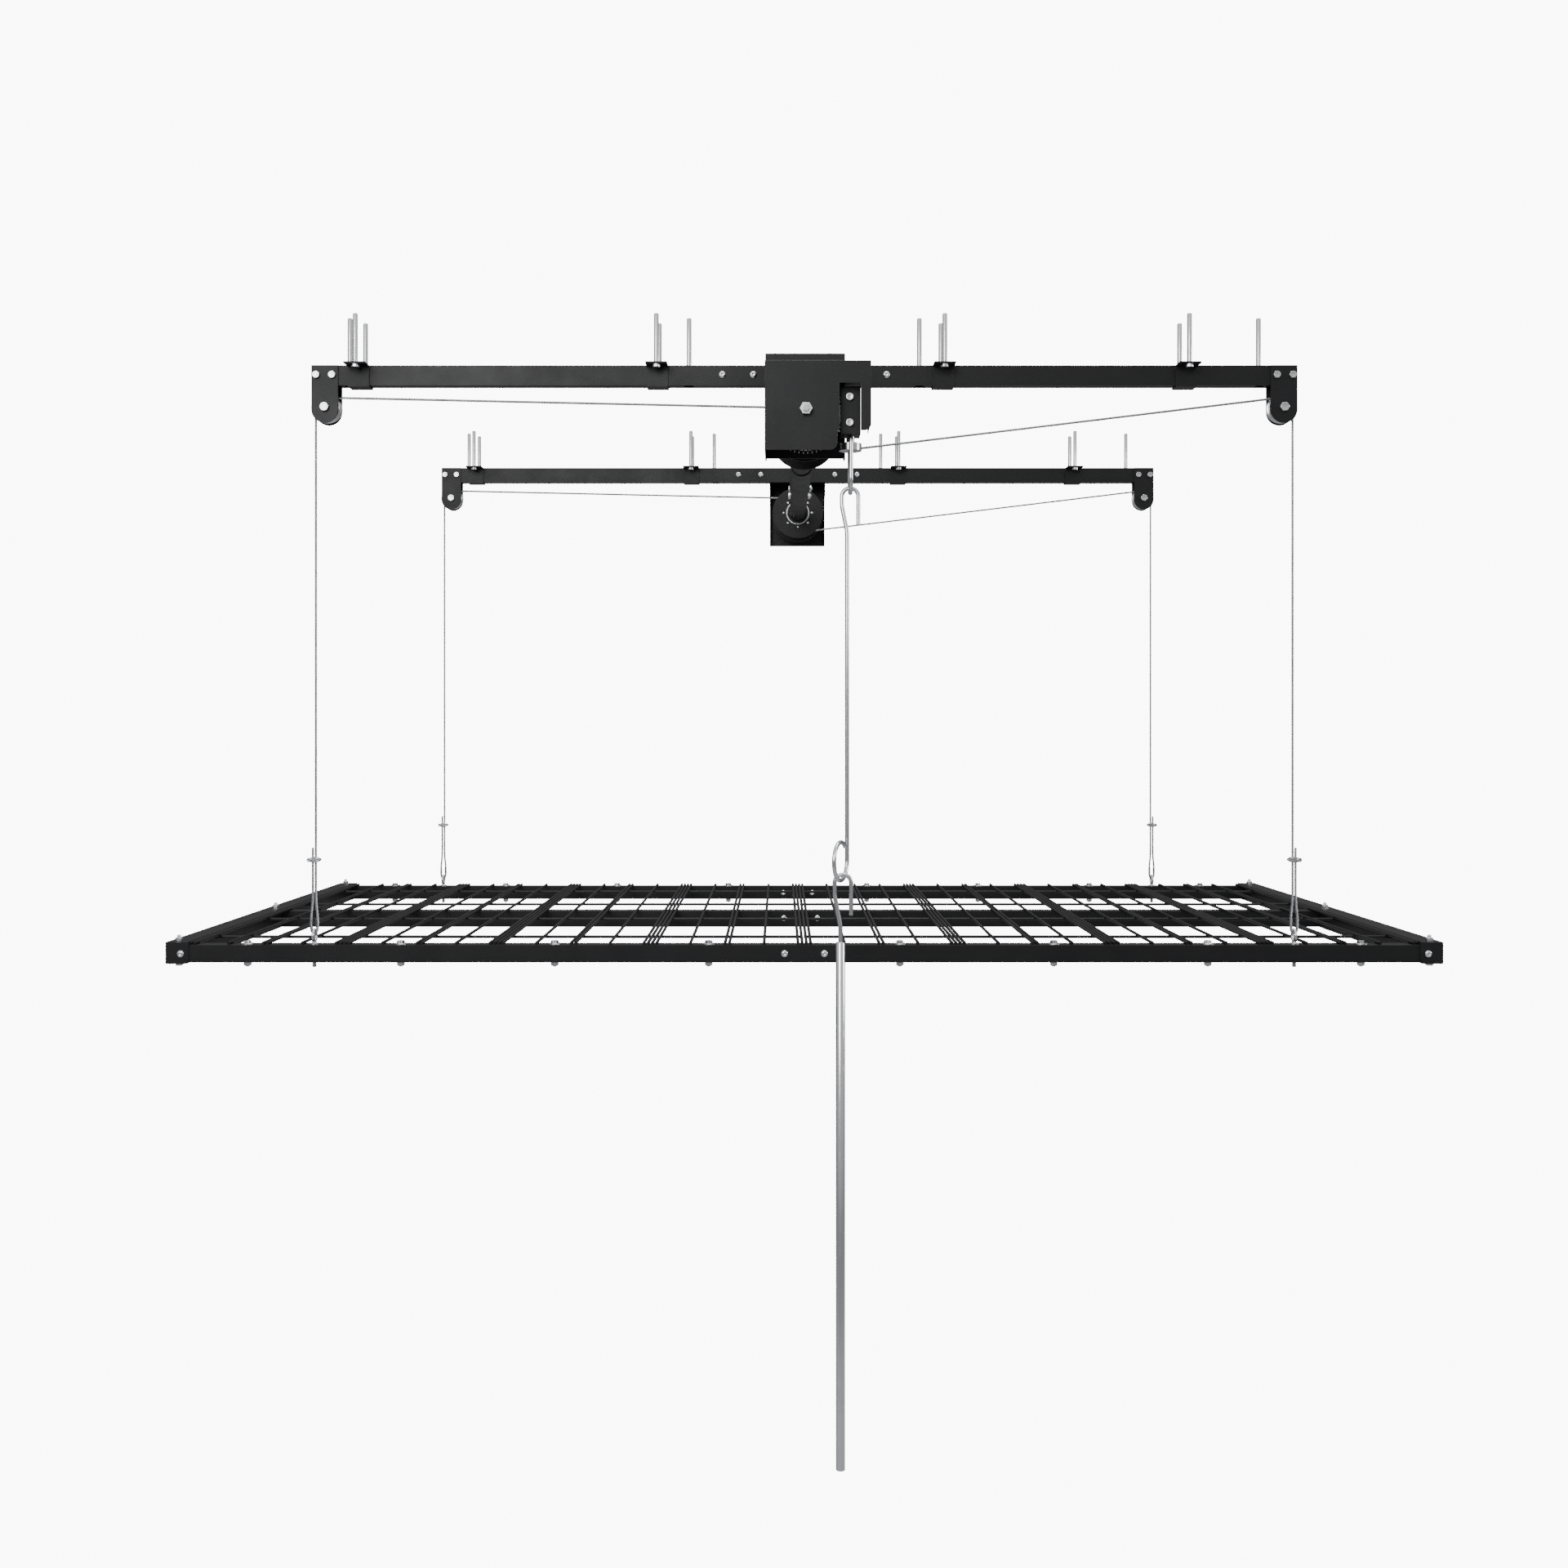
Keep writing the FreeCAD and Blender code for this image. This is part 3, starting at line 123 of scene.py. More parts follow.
# The camera sees the floor and the room as plain white. Everything else is lit by a dimmer floor and room.
SEEN_WHITE = 10
pale, shader, wire, output = fresh_material("pale_floor")
seen = shader.new("ShaderNodeLightPath")
bright = shader.new("ShaderNodeEmission")
bright.inputs["Strength"].default_value = SEEN_WHITE
matt = shader.new("ShaderNodeBsdfDiffuse")
matt.inputs["Color"].default_value = (0.35, 0.35, 0.36, 1)
either = shader.new("ShaderNodeMixShader")
wire.new(seen.outputs["Is Camera Ray"], either.inputs["Fac"])
wire.new(matt.outputs[0], either.inputs[1])
wire.new(bright.outputs[0], either.inputs[2])
wire.new(either.outputs[0], output.inputs["Surface"])
floor_mesh.materials.append(pale)

room = bpy.data.worlds.new("white_room")
bpy.context.scene.world = room
room.use_nodes = True
shader, wire = room.node_tree.nodes, room.node_tree.links
shader.clear()
way = shader.new("ShaderNodeTexCoord")
split = shader.new("ShaderNodeSeparateXYZ")
wire.new(way.outputs["Generated"], split.inputs[0])
shade = shader.new("ShaderNodeValToRGB")
LOW_LIGHT, MID_LIGHT, HIGH_LIGHT = 0.30, 0.36, 1.0
stops = shade.color_ramp.elements
stops[0].position, stops[0].color = 0.40, (LOW_LIGHT, LOW_LIGHT, LOW_LIGHT * 1.04, 1)
stops[1].position, stops[1].color = 0.90, (HIGH_LIGHT, HIGH_LIGHT, HIGH_LIGHT, 1)
middle = stops.new(0.50)
middle.color = (MID_LIGHT, MID_LIGHT, MID_LIGHT, 1)
wire.new(worked_out(shader, wire, "MULTIPLY_ADD", split.outputs["Z"], 0.5, 0.5), shade.inputs["Fac"])
soft = shader.new("ShaderNodeBackground")
fade = shader.new("ShaderNodeMapRange")
fade.inputs["From Min"].default_value, fade.inputs["From Max"].default_value = -0.15, 0.65
fade.inputs["To Min"].default_value, fade.inputs["To Max"].default_value = 0.95, 0.32
wire.new(split.outputs["Y"], fade.inputs["Value"])
wire.new(fade.outputs[0], soft.inputs["Strength"])
wire.new(shade.outputs[0], soft.inputs["Color"])
plain = shader.new("ShaderNodeBackground")
plain.inputs["Strength"].default_value = SEEN_WHITE
plain.inputs["Color"].default_value = (1, 1, 1, 1)
seen = shader.new("ShaderNodeLightPath")
either = shader.new("ShaderNodeMixShader")
wire.new(seen.outputs["Is Camera Ray"], either.inputs["Fac"])
wire.new(soft.outputs[0], either.inputs[1])
wire.new(plain.outputs[0], either.inputs[2])
wire.new(either.outputs[0], shader.new("ShaderNodeOutputWorld").inputs["Surface"])

# Three soft boxes: a broad one in front above the crank, one over the top and a narrow one at the side.
for name, place, aim, size, power in (
    ("front_box", (-1.6, -4.6, 1.0), (0, 0, -0.8), 2.6, 110),
    ("top_box", (0.4, 0.6, 4.2), (0, 0, -0.6), 3.2, 170),
    ("side_box", (4.6, -1.2, 0.4), (0, 0, -0.7), 1.4, 60),
):
    lamp = bpy.data.lights.new(name, "AREA")
    lamp.energy, lamp.size = power, size
    stand = bpy.data.objects.new(name, lamp)
    stand.location = place
    stand.rotation_euler = (Vector(aim) - Vector(place)).to_track_quat("-Z", "Y").to_euler()
    bpy.context.scene.collection.objects.link(stand)

# ------------------------------------------------------------------ camera
# Level with the space between the tracks and the deck, square on to the crank side.
lens = bpy.data.cameras.new("camera")
lens.sensor_width, lens.lens = 36, 36.77
lens.shift_x, lens.shift_y = 0.0026, -0.0318
lens.clip_start, lens.clip_end = 0.05, 400
camera = bpy.data.objects.new("camera", lens)
camera.location = (-0.0467, -3.6645, -0.705)
camera.rotation_euler = (math.radians(90), 0, 0)
bpy.context.scene.collection.objects.link(camera)
bpy.context.scene.camera = camera

# ------------------------------------------------------------------ overhead tracks
# Steel box tube, powder coated satin black, in two lengths each side that meet over the winch. The corners
# are rolled, so they round off and catch the light, and the coat along them is painted lighter, a painted
# highlight.


def shader_group(name, inputs, outputs):
    """A shader node group with named sockets: inputs as name, kind and value, outputs as name and kind."""
    tree = bpy.data.node_groups.new(name, "ShaderNodeTree")
    for label, kind, start in inputs:
        tree.interface.new_socket(label, in_out="INPUT", socket_type=kind).default_value = start
    for label, kind in outputs:
        tree.interface.new_socket(label, in_out="OUTPUT", socket_type=kind)
    return tree, tree.nodes, tree.links, tree.nodes.new("NodeGroupInput"), tree.nodes.new("NodeGroupOutput")


# Fine orange peel in the coat, with a thin film of dust on what faces up.
powder_group, shader, wire, given, made = shader_group(
    "powder_surface",
    [
        ("Colour", "NodeSocketColor", (0.01, 0.01, 0.011, 1)),
        ("Dust", "NodeSocketColor", (0.05, 0.05, 0.05, 1)),
        ("Dust Amount", "NodeSocketFloat", 0.25),
        ("Roughness", "NodeSocketFloat", 0.42),
        ("Peel Scale", "NodeSocketFloat", 900),
        ("Peel Depth", "NodeSocketFloat", 0.12),
    ],
    [("Colour", "NodeSocketColor"), ("Roughness", "NodeSocketFloat"), ("Normal", "NodeSocketVector")],
)
place = shader.new("ShaderNodeTexCoord")
peel = shader.new("ShaderNodeTexNoise")
peel.inputs["Detail"].default_value = 2
wire.new(place.outputs["Object"], peel.inputs["Vector"])
wire.new(given.outputs["Peel Scale"], peel.inputs["Scale"])
bump = shader.new("ShaderNodeBump")
bump.inputs["Distance"].default_value = 0.0004
wire.new(peel.outputs["Fac"], bump.inputs["Height"])
wire.new(given.outputs["Peel Depth"], bump.inputs["Strength"])
wire.new(bump.outputs[0], made.inputs["Normal"])
cloud = shader.new("ShaderNodeTexNoise")
cloud.inputs["Scale"].default_value = 14
cloud.inputs["Detail"].default_value = 6
wire.new(place.outputs["Object"], cloud.inputs["Vector"])
shape = shader.new("ShaderNodeNewGeometry")
facing = shader.new("ShaderNodeSeparateXYZ")
wire.new(shape.outputs["Normal"], facing.inputs[0])
upward = shader.new("ShaderNodeMapRange")
upward.inputs["From Min"].default_value, upward.inputs["From Max"].default_value = 0.3, 1
wire.new(facing.outputs["Z"], upward.inputs["Value"])
film = worked_out(shader, wire, "MULTIPLY", upward.outputs[0], cloud.outputs["Fac"])
amount = worked_out(shader, wire, "MULTIPLY", film, given.outputs["Dust Amount"])
tint = shader.new("ShaderNodeMix")
tint.data_type = "RGBA"
wire.new(amount, tint.inputs["Factor"])
wire.new(given.outputs["Colour"], tint.inputs["A"])
wire.new(given.outputs["Dust"], tint.inputs["B"])
wire.new(tint.outputs["Result"], made.inputs["Colour"])
vary = shader.new("ShaderNodeMapRange")
vary.inputs["From Min"].default_value, vary.inputs["From Max"].default_value = 0.3, 0.7
vary.inputs["To Min"].default_value, vary.inputs["To Max"].default_value = -0.05, 0.07
wire.new(cloud.outputs["Fac"], vary.inputs["Value"])
rough = worked_out(shader, wire, "ADD", vary.outputs[0], given.outputs["Roughness"])
wire.new(rough, made.inputs["Roughness"])


def finish_material(name, group, metallic, specular=0.5, **values):
    """A material whose Principled shader takes colour, roughness and normal from a surface group."""
    material, shader, wire, output = fresh_material(name)
    surface = shader.new("ShaderNodeGroup")
    surface.node_tree = group
    for label, amount in values.items():
        surface.inputs[label.replace("_", " ")].default_value = amount
    body = shader.new("ShaderNodeBsdfPrincipled")
    body.inputs["Metallic"].default_value = metallic
    body.inputs["Specular IOR Level"].default_value = specular
    wire.new(surface.outputs["Colour"], body.inputs["Base Color"])
    wire.new(surface.outputs["Roughness"], body.inputs["Roughness"])
    wire.new(surface.outputs["Normal"], body.inputs["Normal"])
    wire.new(body.outputs[0], output.inputs["Surface"])
    return material


satin_black = finish_material(
    "satin_black_powder_coat", powder_group, 0, 0.30,
    Colour=(0.0095, 0.0095, 0.0105, 1), Dust=(0.06, 0.06, 0.06, 1), Dust_Amount=0.12,
)
# A lighter, smoother copy of the coat for the rounded edges: a painted highlight along every edge.
edge_highlight_black = finish_material(
    "powder_coat_on_edges", powder_group, 0, 0.42,
    Colour=(0.016, 0.016, 0.017, 1), Dust=(0.12, 0.12, 0.12, 1), Roughness=0.34, Peel_Depth=0.05,
)


WELD = 0.004 * MM


def welded(node):
    """A CAD part's shell with its doubled corners merged and its flat faces made whole."""
    shell = bmesh.new()
    shell.from_mesh(nodes[node].data)
    bmesh.ops.remove_doubles(shell, verts=shell.verts, dist=WELD)
    bmesh.ops.dissolve_limit(shell, angle_limit=math.radians(0.5), verts=shell.verts, edges=shell.edges)
    return shell


def settled(piece, name):
    """The object's shape after its modifiers, as a plain mesh object of its own."""
    drawn = bpy.context.evaluated_depsgraph_get()
    drawn.update()
    mesh = bpy.data.meshes.new_from_object(piece.evaluated_get(drawn))
    mesh.name = name
    final = bpy.data.objects.new(name, mesh)
    bpy.context.scene.collection.objects.link(final)
    bpy.data.objects.remove(piece, do_unlink=True)
    return final


def hold(piece, body, slot, *stands_for):
    """Ride the piece on its body and let it stand for its CAD nodes. The slot is not used."""
    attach(piece, body)
    if stands_for:
        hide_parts(*stands_for)
    return piece


def eased(node, radius, body_finish, edge_finish, slot="powder_coat", steps=3, angle=35):
    """A CAD part with its sharp edges rounded, standing in that part's place. Its flat faces shade flat."""
    shell = welded(node)
    level = shell.faces.layers.int.new("level")
    for face in shell.faces:
        bends = [edge.calc_face_angle(0) for edge in face.edges if len(edge.link_faces) == 2]
        face[level] = not any(math.radians(1) < bend < math.radians(30) for bend in bends)
    mesh = bpy.data.meshes.new(node)
    shell.to_mesh(mesh)
    shell.free()
    mesh.materials.append(body_finish)
    mesh.materials.append(edge_finish)
    for face in mesh.polygons:
        face.material_index = 0
        face.use_smooth = True
    draft = bpy.data.objects.new("draft", mesh)
    bpy.context.scene.collection.objects.link(draft)
    edges = draft.modifiers.new("rounded edges", "BEVEL")
    edges.width, edges.segments = radius, steps
    edges.limit_method, edges.angle_limit = "ANGLE", math.radians(angle)
    edges.material = 1
    weighed = draft.modifiers.new("weighed normals", "WEIGHTED_NORMAL")
    weighed.weight, weighed.keep_sharp = 100, True
    final = settled(draft, f"{node}_finished")
    mesh = final.data
    flat_at = {}
    for face, mark in zip(mesh.polygons, mesh.attributes["level"].data):
        if mark.value and face.material_index == 0:
            for corner in face.vertices:
                flat_at.setdefault(corner, []).append(face.normal.copy())
    ways = [corner.vector.copy() for corner in mesh.corner_normals]
    for loop in mesh.loops:
        if len(flat_at.get(loop.vertex_index, ())) == 1:
            ways[loop.index] = flat_at[loop.vertex_index][0]
    mesh.normals_split_custom_set(ways)
    mesh.attributes.remove(mesh.attributes["level"])
    return hold(final, body_of[node], slot, node)


for track in ("front_track_left", "front_track_right", "rear_track_left", "rear_track_right"):
    eased(track, 1.6 * MM, satin_black, edge_highlight_black)

# ------------------------------------------------------------------ sleeves inside the tubes
# Plain drawn steel box sleeves lie inside the tubes of the tracks and the deck rails where two lengths meet,
# and the tubes hide them.
steel_group, shader, wire, given, made = shader_group(
    "worked_steel",
    [
        ("Colour", "NodeSocketColor", (0.6, 0.6, 0.6, 1)),
        ("Stain", "NodeSocketColor", (0.4, 0.4, 0.42, 1)),
        ("Stain Amount", "NodeSocketFloat", 0.3),
        ("Roughness", "NodeSocketFloat", 0.28),
        ("Scratch Scale", "NodeSocketFloat", 350),
        ("Scratch Depth", "NodeSocketFloat", 0.08),
    ],
    [("Colour", "NodeSocketColor"), ("Roughness", "NodeSocketFloat"), ("Normal", "NodeSocketVector")],
)
place = shader.new("ShaderNodeTexCoord")
grain = shader.new("ShaderNodeTexNoise")
grain.inputs["Detail"].default_value = 5
wire.new(place.outputs["Object"], grain.inputs["Vector"])
wire.new(given.outputs["Scratch Scale"], grain.inputs["Scale"])
bump = shader.new("ShaderNodeBump")
bump.inputs["Distance"].default_value = 0.0003
wire.new(grain.outputs["Fac"], bump.inputs["Height"])
wire.new(given.outputs["Scratch Depth"], bump.inputs["Strength"])
wire.new(bump.outputs[0], made.inputs["Normal"])
patch = shader.new("ShaderNodeTexNoise")
patch.inputs["Scale"].default_value = 60
patch.inputs["Detail"].default_value = 4
wire.new(place.outputs["Object"], patch.inputs["Vector"])
spread = shader.new("ShaderNodeMapRange")
spread.inputs["From Min"].default_value, spread.inputs["From Max"].default_value = 0.42, 0.72
wire.new(patch.outputs["Fac"], spread.inputs["Value"])
amount = worked_out(shader, wire, "MULTIPLY", spread.outputs[0], given.outputs["Stain Amount"])
tint = shader.new("ShaderNodeMix")
tint.data_type = "RGBA"
wire.new(amount, tint.inputs["Factor"])
wire.new(given.outputs["Colour"], tint.inputs["A"])
wire.new(given.outputs["Stain"], tint.inputs["B"])
wire.new(tint.outputs["Result"], made.inputs["Colour"])
STAIN_DULLS = 0.3
dull = worked_out(shader, wire, "MULTIPLY_ADD", amount, STAIN_DULLS, given.outputs["Roughness"])
wire.new(dull, made.inputs["Roughness"])

drawn_steel = finish_material(
    "drawn_steel", steel_group, 1, Colour=(0.30, 0.30, 0.31, 1), Stain=(0.16, 0.15, 0.15, 1), Roughness=0.45
)
for sleeve in ("track_joiners", "rail_joiners"):
    mesh = nodes[sleeve].data
    mesh.materials.clear()
    mesh.materials.append(drawn_steel)

# ------------------------------------------------------------------ track joint bolts
# M8 button head screws in bright zinc, with a hexagon socket, go through each joint from the front and have
# plain nuts behind. Every fastener is set out from where its CAD solid stands.
bright_zinc = finish_material(
    "bright_zinc", steel_group, 1, Colour=(0.80, 0.81, 0.83, 1), Stain=(0.52, 0.53, 0.56, 1), Roughness=0.22
)


def solids_of(node):
    """The lowest and highest corner of each separate solid in a CAD node."""
    shell = bmesh.new()
    shell.from_mesh(nodes[node].data)
    bmesh.ops.remove_doubles(shell, verts=shell.verts, dist=WELD)
    left, found = set(shell.verts), []
    while left:
        queue, points = [left.pop()], []
        while queue:
            corner = queue.pop()
            points.append(corner.co.copy())
            for edge in corner.link_edges:
                other = edge.other_vert(corner)
                if other in left:
                    left.remove(other)
                    queue.append(other)
        found.append((Vector(map(min, zip(*points))), Vector(map(max, zip(*points)))))
    shell.free()
    return sorted(found, key=lambda ends: tuple(round(c, 4) for c in ends[0]))


def ringed(name, rings, sides=36):
    """A closed form from rings up Z. A ring is (height, radius) or (height, radius, half width across flats),
    all in mm, and is round where the radius is the smaller."""
    shell = bmesh.new()
    loops = []
    for height, radius, *flats in rings:
        loop = []
        for k in range(sides):
            turn = 2 * math.pi * k / sides
            out = radius
            if flats:
                out = min(radius, flats[0] / math.cos((turn + math.pi / 6) % (math.pi / 3) - math.pi / 6))
            loop.append(shell.verts.new((out * math.cos(turn) * MM, out * math.sin(turn) * MM, height * MM)))
        loops.append(loop)
    for low, high in zip(loops, loops[1:]):
        for k in range(sides):
            after = (k + 1) % sides
            shell.faces.new((low[k], low[after], high[after], high[k]))
    shell.faces.new(reversed(loops[0]))
    shell.faces.new(loops[-1])
    mesh = bpy.data.meshes.new(name)
    bmesh.ops.recalc_face_normals(shell, faces=shell.faces)
    shell.to_mesh(mesh)
    shell.free()
    for face in mesh.polygons:
        face.use_smooth = True
    mesh.set_sharp_from_angle(angle=math.radians(32))
    pattern = bpy.data.objects.new(name, mesh)
    bpy.context.scene.collection.objects.link(pattern)
    return pattern


# The tree that sets one pattern out at marked points, each along its own axis and turned at random about it.
set_out = bpy.data.node_groups.new("set_out_fasteners", "GeometryNodeTree")
for label, kind in (
    ("Marks", "NodeSocketGeometry"), ("Pattern", "NodeSocketObject"), ("Finish", "NodeSocketMaterial"),
    ("Seed", "NodeSocketInt"),
):
    set_out.interface.new_socket(label, in_out="INPUT", socket_type=kind)
set_out.interface.new_socket("Fasteners", in_out="OUTPUT", socket_type="NodeSocketGeometry")
part, wire = set_out.nodes, set_out.links
given, made = part.new("NodeGroupInput"), part.new("NodeGroupOutput")
heading = part.new("GeometryNodeInputNamedAttribute")
heading.data_type = "FLOAT_VECTOR"
heading.inputs["Name"].default_value = "heading"
aimed = part.new("FunctionNodeAlignRotationToVector")
aimed.axis = "Z"
wire.new(heading.outputs["Attribute"], aimed.inputs["Vector"])
chance = part.new("FunctionNodeRandomValue")
chance.data_type = "FLOAT"
chance.inputs[3].default_value = 2 * math.pi
wire.new(given.outputs["Seed"], chance.inputs["Seed"])
about = part.new("ShaderNodeCombineXYZ")
wire.new(chance.outputs[1], about.inputs["Z"])
spun = part.new("FunctionNodeEulerToRotation")
wire.new(about.outputs[0], spun.inputs[0])
both = part.new("FunctionNodeRotateRotation")
both.rotation_space = "LOCAL"
wire.new(aimed.outputs[0], both.inputs["Rotation"])
wire.new(spun.outputs[0], both.inputs["Rotate By"])
source = part.new("GeometryNodeObjectInfo")
wire.new(given.outputs["Pattern"], source.inputs["Object"])
stamp = part.new("GeometryNodeInstanceOnPoints")
wire.new(given.outputs["Marks"], stamp.inputs["Points"])
wire.new(source.outputs["Geometry"], stamp.inputs["Instance"])
wire.new(both.outputs[0], stamp.inputs["Rotation"])
real = part.new("GeometryNodeRealizeInstances")
wire.new(stamp.outputs[0], real.inputs[0])
coat = part.new("GeometryNodeSetMaterial")
wire.new(real.outputs[0], coat.inputs["Geometry"])
wire.new(given.outputs["Finish"], coat.inputs["Material"])
wire.new(coat.outputs[0], made.inputs["Fasteners"])


def set_inputs(modifier, **values):
    """Give a geometry tree's named inputs their values, by each socket's identifier."""
    for item in modifier.node_group.interface.items_tree:
        label = item.name.replace(" ", "_")
        if item.in_out == "INPUT" and label in values:
            modifier[item.identifier] = values[label]


def stamped(name, pattern, marks, finish, seed):
    """Copies of a pattern at marks, each a point and a heading, as one plain mesh object."""
    mesh = bpy.data.meshes.new(name)
    mesh.from_pydata([tuple(point) for point, _ in marks], [], [])
    arrow = mesh.attributes.new("heading", "FLOAT_VECTOR", "POINT")
    for k, (_, along) in enumerate(marks):
        arrow.data[k].vector = along
    draft = bpy.data.objects.new("draft", mesh)
    bpy.context.scene.collection.objects.link(draft)
    laid = draft.modifiers.new("set out", "NODES")
    laid.node_group = set_out
    set_inputs(laid, Pattern=pattern, Finish=finish, Seed=seed)
    return settled(draft, name)


def joined(name, pieces):
    """Several finished shapes as one object."""
    shell = bmesh.new()
    finishes = []
    for piece in pieces:
        before = len(shell.faces)
        shell.from_mesh(piece.data)
        shell.faces.ensure_lookup_table()
        used = list(piece.data.materials)
        for face in shell.faces[before:]:
            finish = used[face.material_index]
            if finish not in finishes:
                finishes.append(finish)
            face.material_index = finishes.index(finish)
        bpy.data.objects.remove(piece, do_unlink=True)
    mesh = bpy.data.meshes.new(name)
    shell.to_mesh(mesh)
    shell.free()
    for finish in finishes:
        mesh.materials.append(finish)
    whole = bpy.data.objects.new(name, mesh)
    bpy.context.scene.collection.objects.link(whole)
    return whole


button_head = ringed(
    "button_head_pattern",
    [
        (-0.4, 3.9), (0, 7.0), (1.1, 7.0), (2.0, 6.75), (2.9, 6.1), (3.7, 5.0), (4.2, 4.0), (4.4, 3.1),
        (4.2, 2.9, 2.5), (1.9, 2.9, 2.5), (1.4, 1.2),
    ],
)
FACE = 6.5
nut_and_end = ringed(
    "nut_pattern",
    [
        (0, 5.9), (0.5, 7.1, FACE), (0.9, 9, FACE), (5.6, 9, FACE), (6.0, 7.1, FACE), (6.5, 6.2), (6.5, 4.3),
        (6.9, 3.55), (7.2, 4.0), (7.5, 3.55), (7.8, 4.0), (8.1, 3.55), (8.3, 3.9), (8.5, 3.0),
    ],
)
toward_front, toward_rear = Vector((0, -1, 0)), Vector((0, 1, 0))
ZINC = "zinc_fasteners"


def middle_of(ends, x=None, y=None, z=None):
    """The centre of a solid, with the place of one of its faces put in along x, y or z."""
    centre = (ends[0] + ends[1]) / 2
    return Vector([middle if given is None else given for middle, given in zip(centre, (x, y, z))])


def set_fasteners(name, body, node, *sorts):
    """All a CAD node's heads, nuts and screws as one piece. A sort is a pattern, marks, finish and seed."""
    copies = [stamped(f"sort_{k}", *sort) for k, sort in enumerate(sorts)]
    return hold(joined(name, copies), body, ZINC, node)


NUT, THREAD_END, BUTTON = 6.5 * MM, 2 * MM, 4.4 * MM
heads, nuts = [], []
for ends in solids_of("track_joint_bolts"):
    heads.append((middle_of(ends, y=ends[0].y + BUTTON), toward_front))
    nuts.append((middle_of(ends, y=ends[1].y - THREAD_END - NUT), toward_rear))
set_fasteners(
    "track_joint_screws", "ceiling_frame", "track_joint_bolts",
    (button_head, heads, bright_zinc, 3), (nut_and_end, nuts, bright_zinc, 5),
)

# ------------------------------------------------------------------ ceiling brackets and lag screws
# Strip steel folded round the track, with an ear each side. 3/8 inch lag screws go up through the ears and
# the tracks: bright smooth shanks that end in a short chamfer, and hexagon heads with a washer face below.
eased("ceiling_brackets", 0.9 * MM, satin_black, edge_highlight_black)

SHANK, LAG_FACE, LAG_HEAD = 4.75, 7, 6.4


def lag_pattern(name, length):
    """A lag screw standing up, its head below z = 0."""
    return ringed(
        name,
        [
            (-LAG_HEAD, 5.6), (-LAG_HEAD + 0.5, 7.7, LAG_FACE), (-0.9, 9, LAG_FACE), (-0.8, 6.9), (0, 6.9),
            (0, SHANK), (length - 1.6, SHANK), (length - 0.5, SHANK - 0.5), (length, SHANK - 1.3),
        ],
        sides=30,
    )


lags = []
for ends in solids_of("lag_screws"):
    length = ends[1].z - ends[0].z - LAG_HEAD * MM
    lags.append((round(length / MM, 1), middle_of(ends, z=ends[0].z + LAG_HEAD * MM)))
upward_way = Vector((0, 0, 1))
lengths = sorted({length for length, _ in lags})
set_fasteners(
    "lag_screws_finished", "ceiling_frame", "lag_screws",
    *[
        (
            lag_pattern(f"lag_pattern_{k}", length),
            [(point, upward_way) for size, point in lags if size == length], bright_zinc, 11 + k,
        )
        for k, length in enumerate(lengths)
    ],
)

# ------------------------------------------------------------------ pulley cheeks and their bolts
# A pair of round ended plates hangs from each track end on two M8 bolts, with a 10 mm axle bolt below that
# carries the pulley. The heads face the crank side.
eased("pulley_cheeks", 0.7 * MM, satin_black, edge_highlight_black)


def hex_head(name, face, height):
    """A bolt head with a washer face, a 30 degree chamfer and a shallow dish in its top."""
    wide = face / math.cos(math.pi / 6) + 0.5
    return ringed(
        name,
        [
            (-0.3, face * 0.6), (0, face - 0.3), (0.35, face - 0.3), (0.4, wide, face),
            (height - 0.9, wide, face), (height - 0.25, face + 0.15, face), (height, face - 0.7),
            (height - 0.35, face - 2.2),
        ],
    )


THREAD = 1.2


def nut_pattern(name, face, height, bore, end):
    """A nut with the bolt's threaded end standing out of it."""
    wide = face / math.cos(math.pi / 6) + 0.5
    rings = [
        (0, face - 0.5), (0.5, face + 0.3, face), (0.9, wide, face), (height - 0.9, wide, face),
        (height - 0.4, face + 0.3, face), (height, face - 0.4), (height, bore + 0.3),
    ]
    for k in range(max(1, round((end - THREAD / 2) / THREAD))):
        rings += [(height + 0.3 + k * THREAD, bore - 0.5), (height + 0.9 + k * THREAD, bore)]
    return ringed(name, rings + [(height + end, bore - 1.0)])


m8_head, axle_head = hex_head("m8_head_pattern", 6.5, 5.5), hex_head("axle_head_pattern", 8, 6.4)
HEX_HEAD, M8_NUT, AXLE_HEAD, AXLE_NUT, CROSS_NUT = 5.5 * MM, 9 * MM, 6.4 * MM, 10 * MM, 10 * MM
m8_nut = nut_pattern("m8_nut_pattern", 6.5, 6.5, 4, 2.5)
axle_nut = nut_pattern("axle_nut_pattern", 8, 8, 5, 2)
WINCH_REACH = 0.5
cheek_bolts = [ends for ends in solids_of("frame_hex_bolts") if abs(ends[0].x) > WINCH_REACH]
housing_bolts = [ends for ends in solids_of("frame_hex_bolts") if abs(ends[0].x) < WINCH_REACH]
heads = [(middle_of(ends, y=ends[0].y + HEX_HEAD), toward_front) for ends in cheek_bolts + housing_bolts]
nuts = [(middle_of(ends, y=ends[1].y - M8_NUT), toward_rear) for ends in cheek_bolts]
set_fasteners(
    "frame_bolts_finished", "ceiling_frame", "frame_hex_bolts",
    (m8_head, heads, bright_zinc, 21), (m8_nut, nuts, bright_zinc, 22),
)
axles = solids_of("pulley_axle_bolts")
axle_pin = ringed("axle_pin_pattern", [(0, 5), (32, 5)], sides=24)
head_seats = [middle_of(ends, y=ends[0].y + AXLE_HEAD) for ends in axles]
nut_seats = [middle_of(ends, y=ends[1].y - AXLE_NUT) for ends in axles]
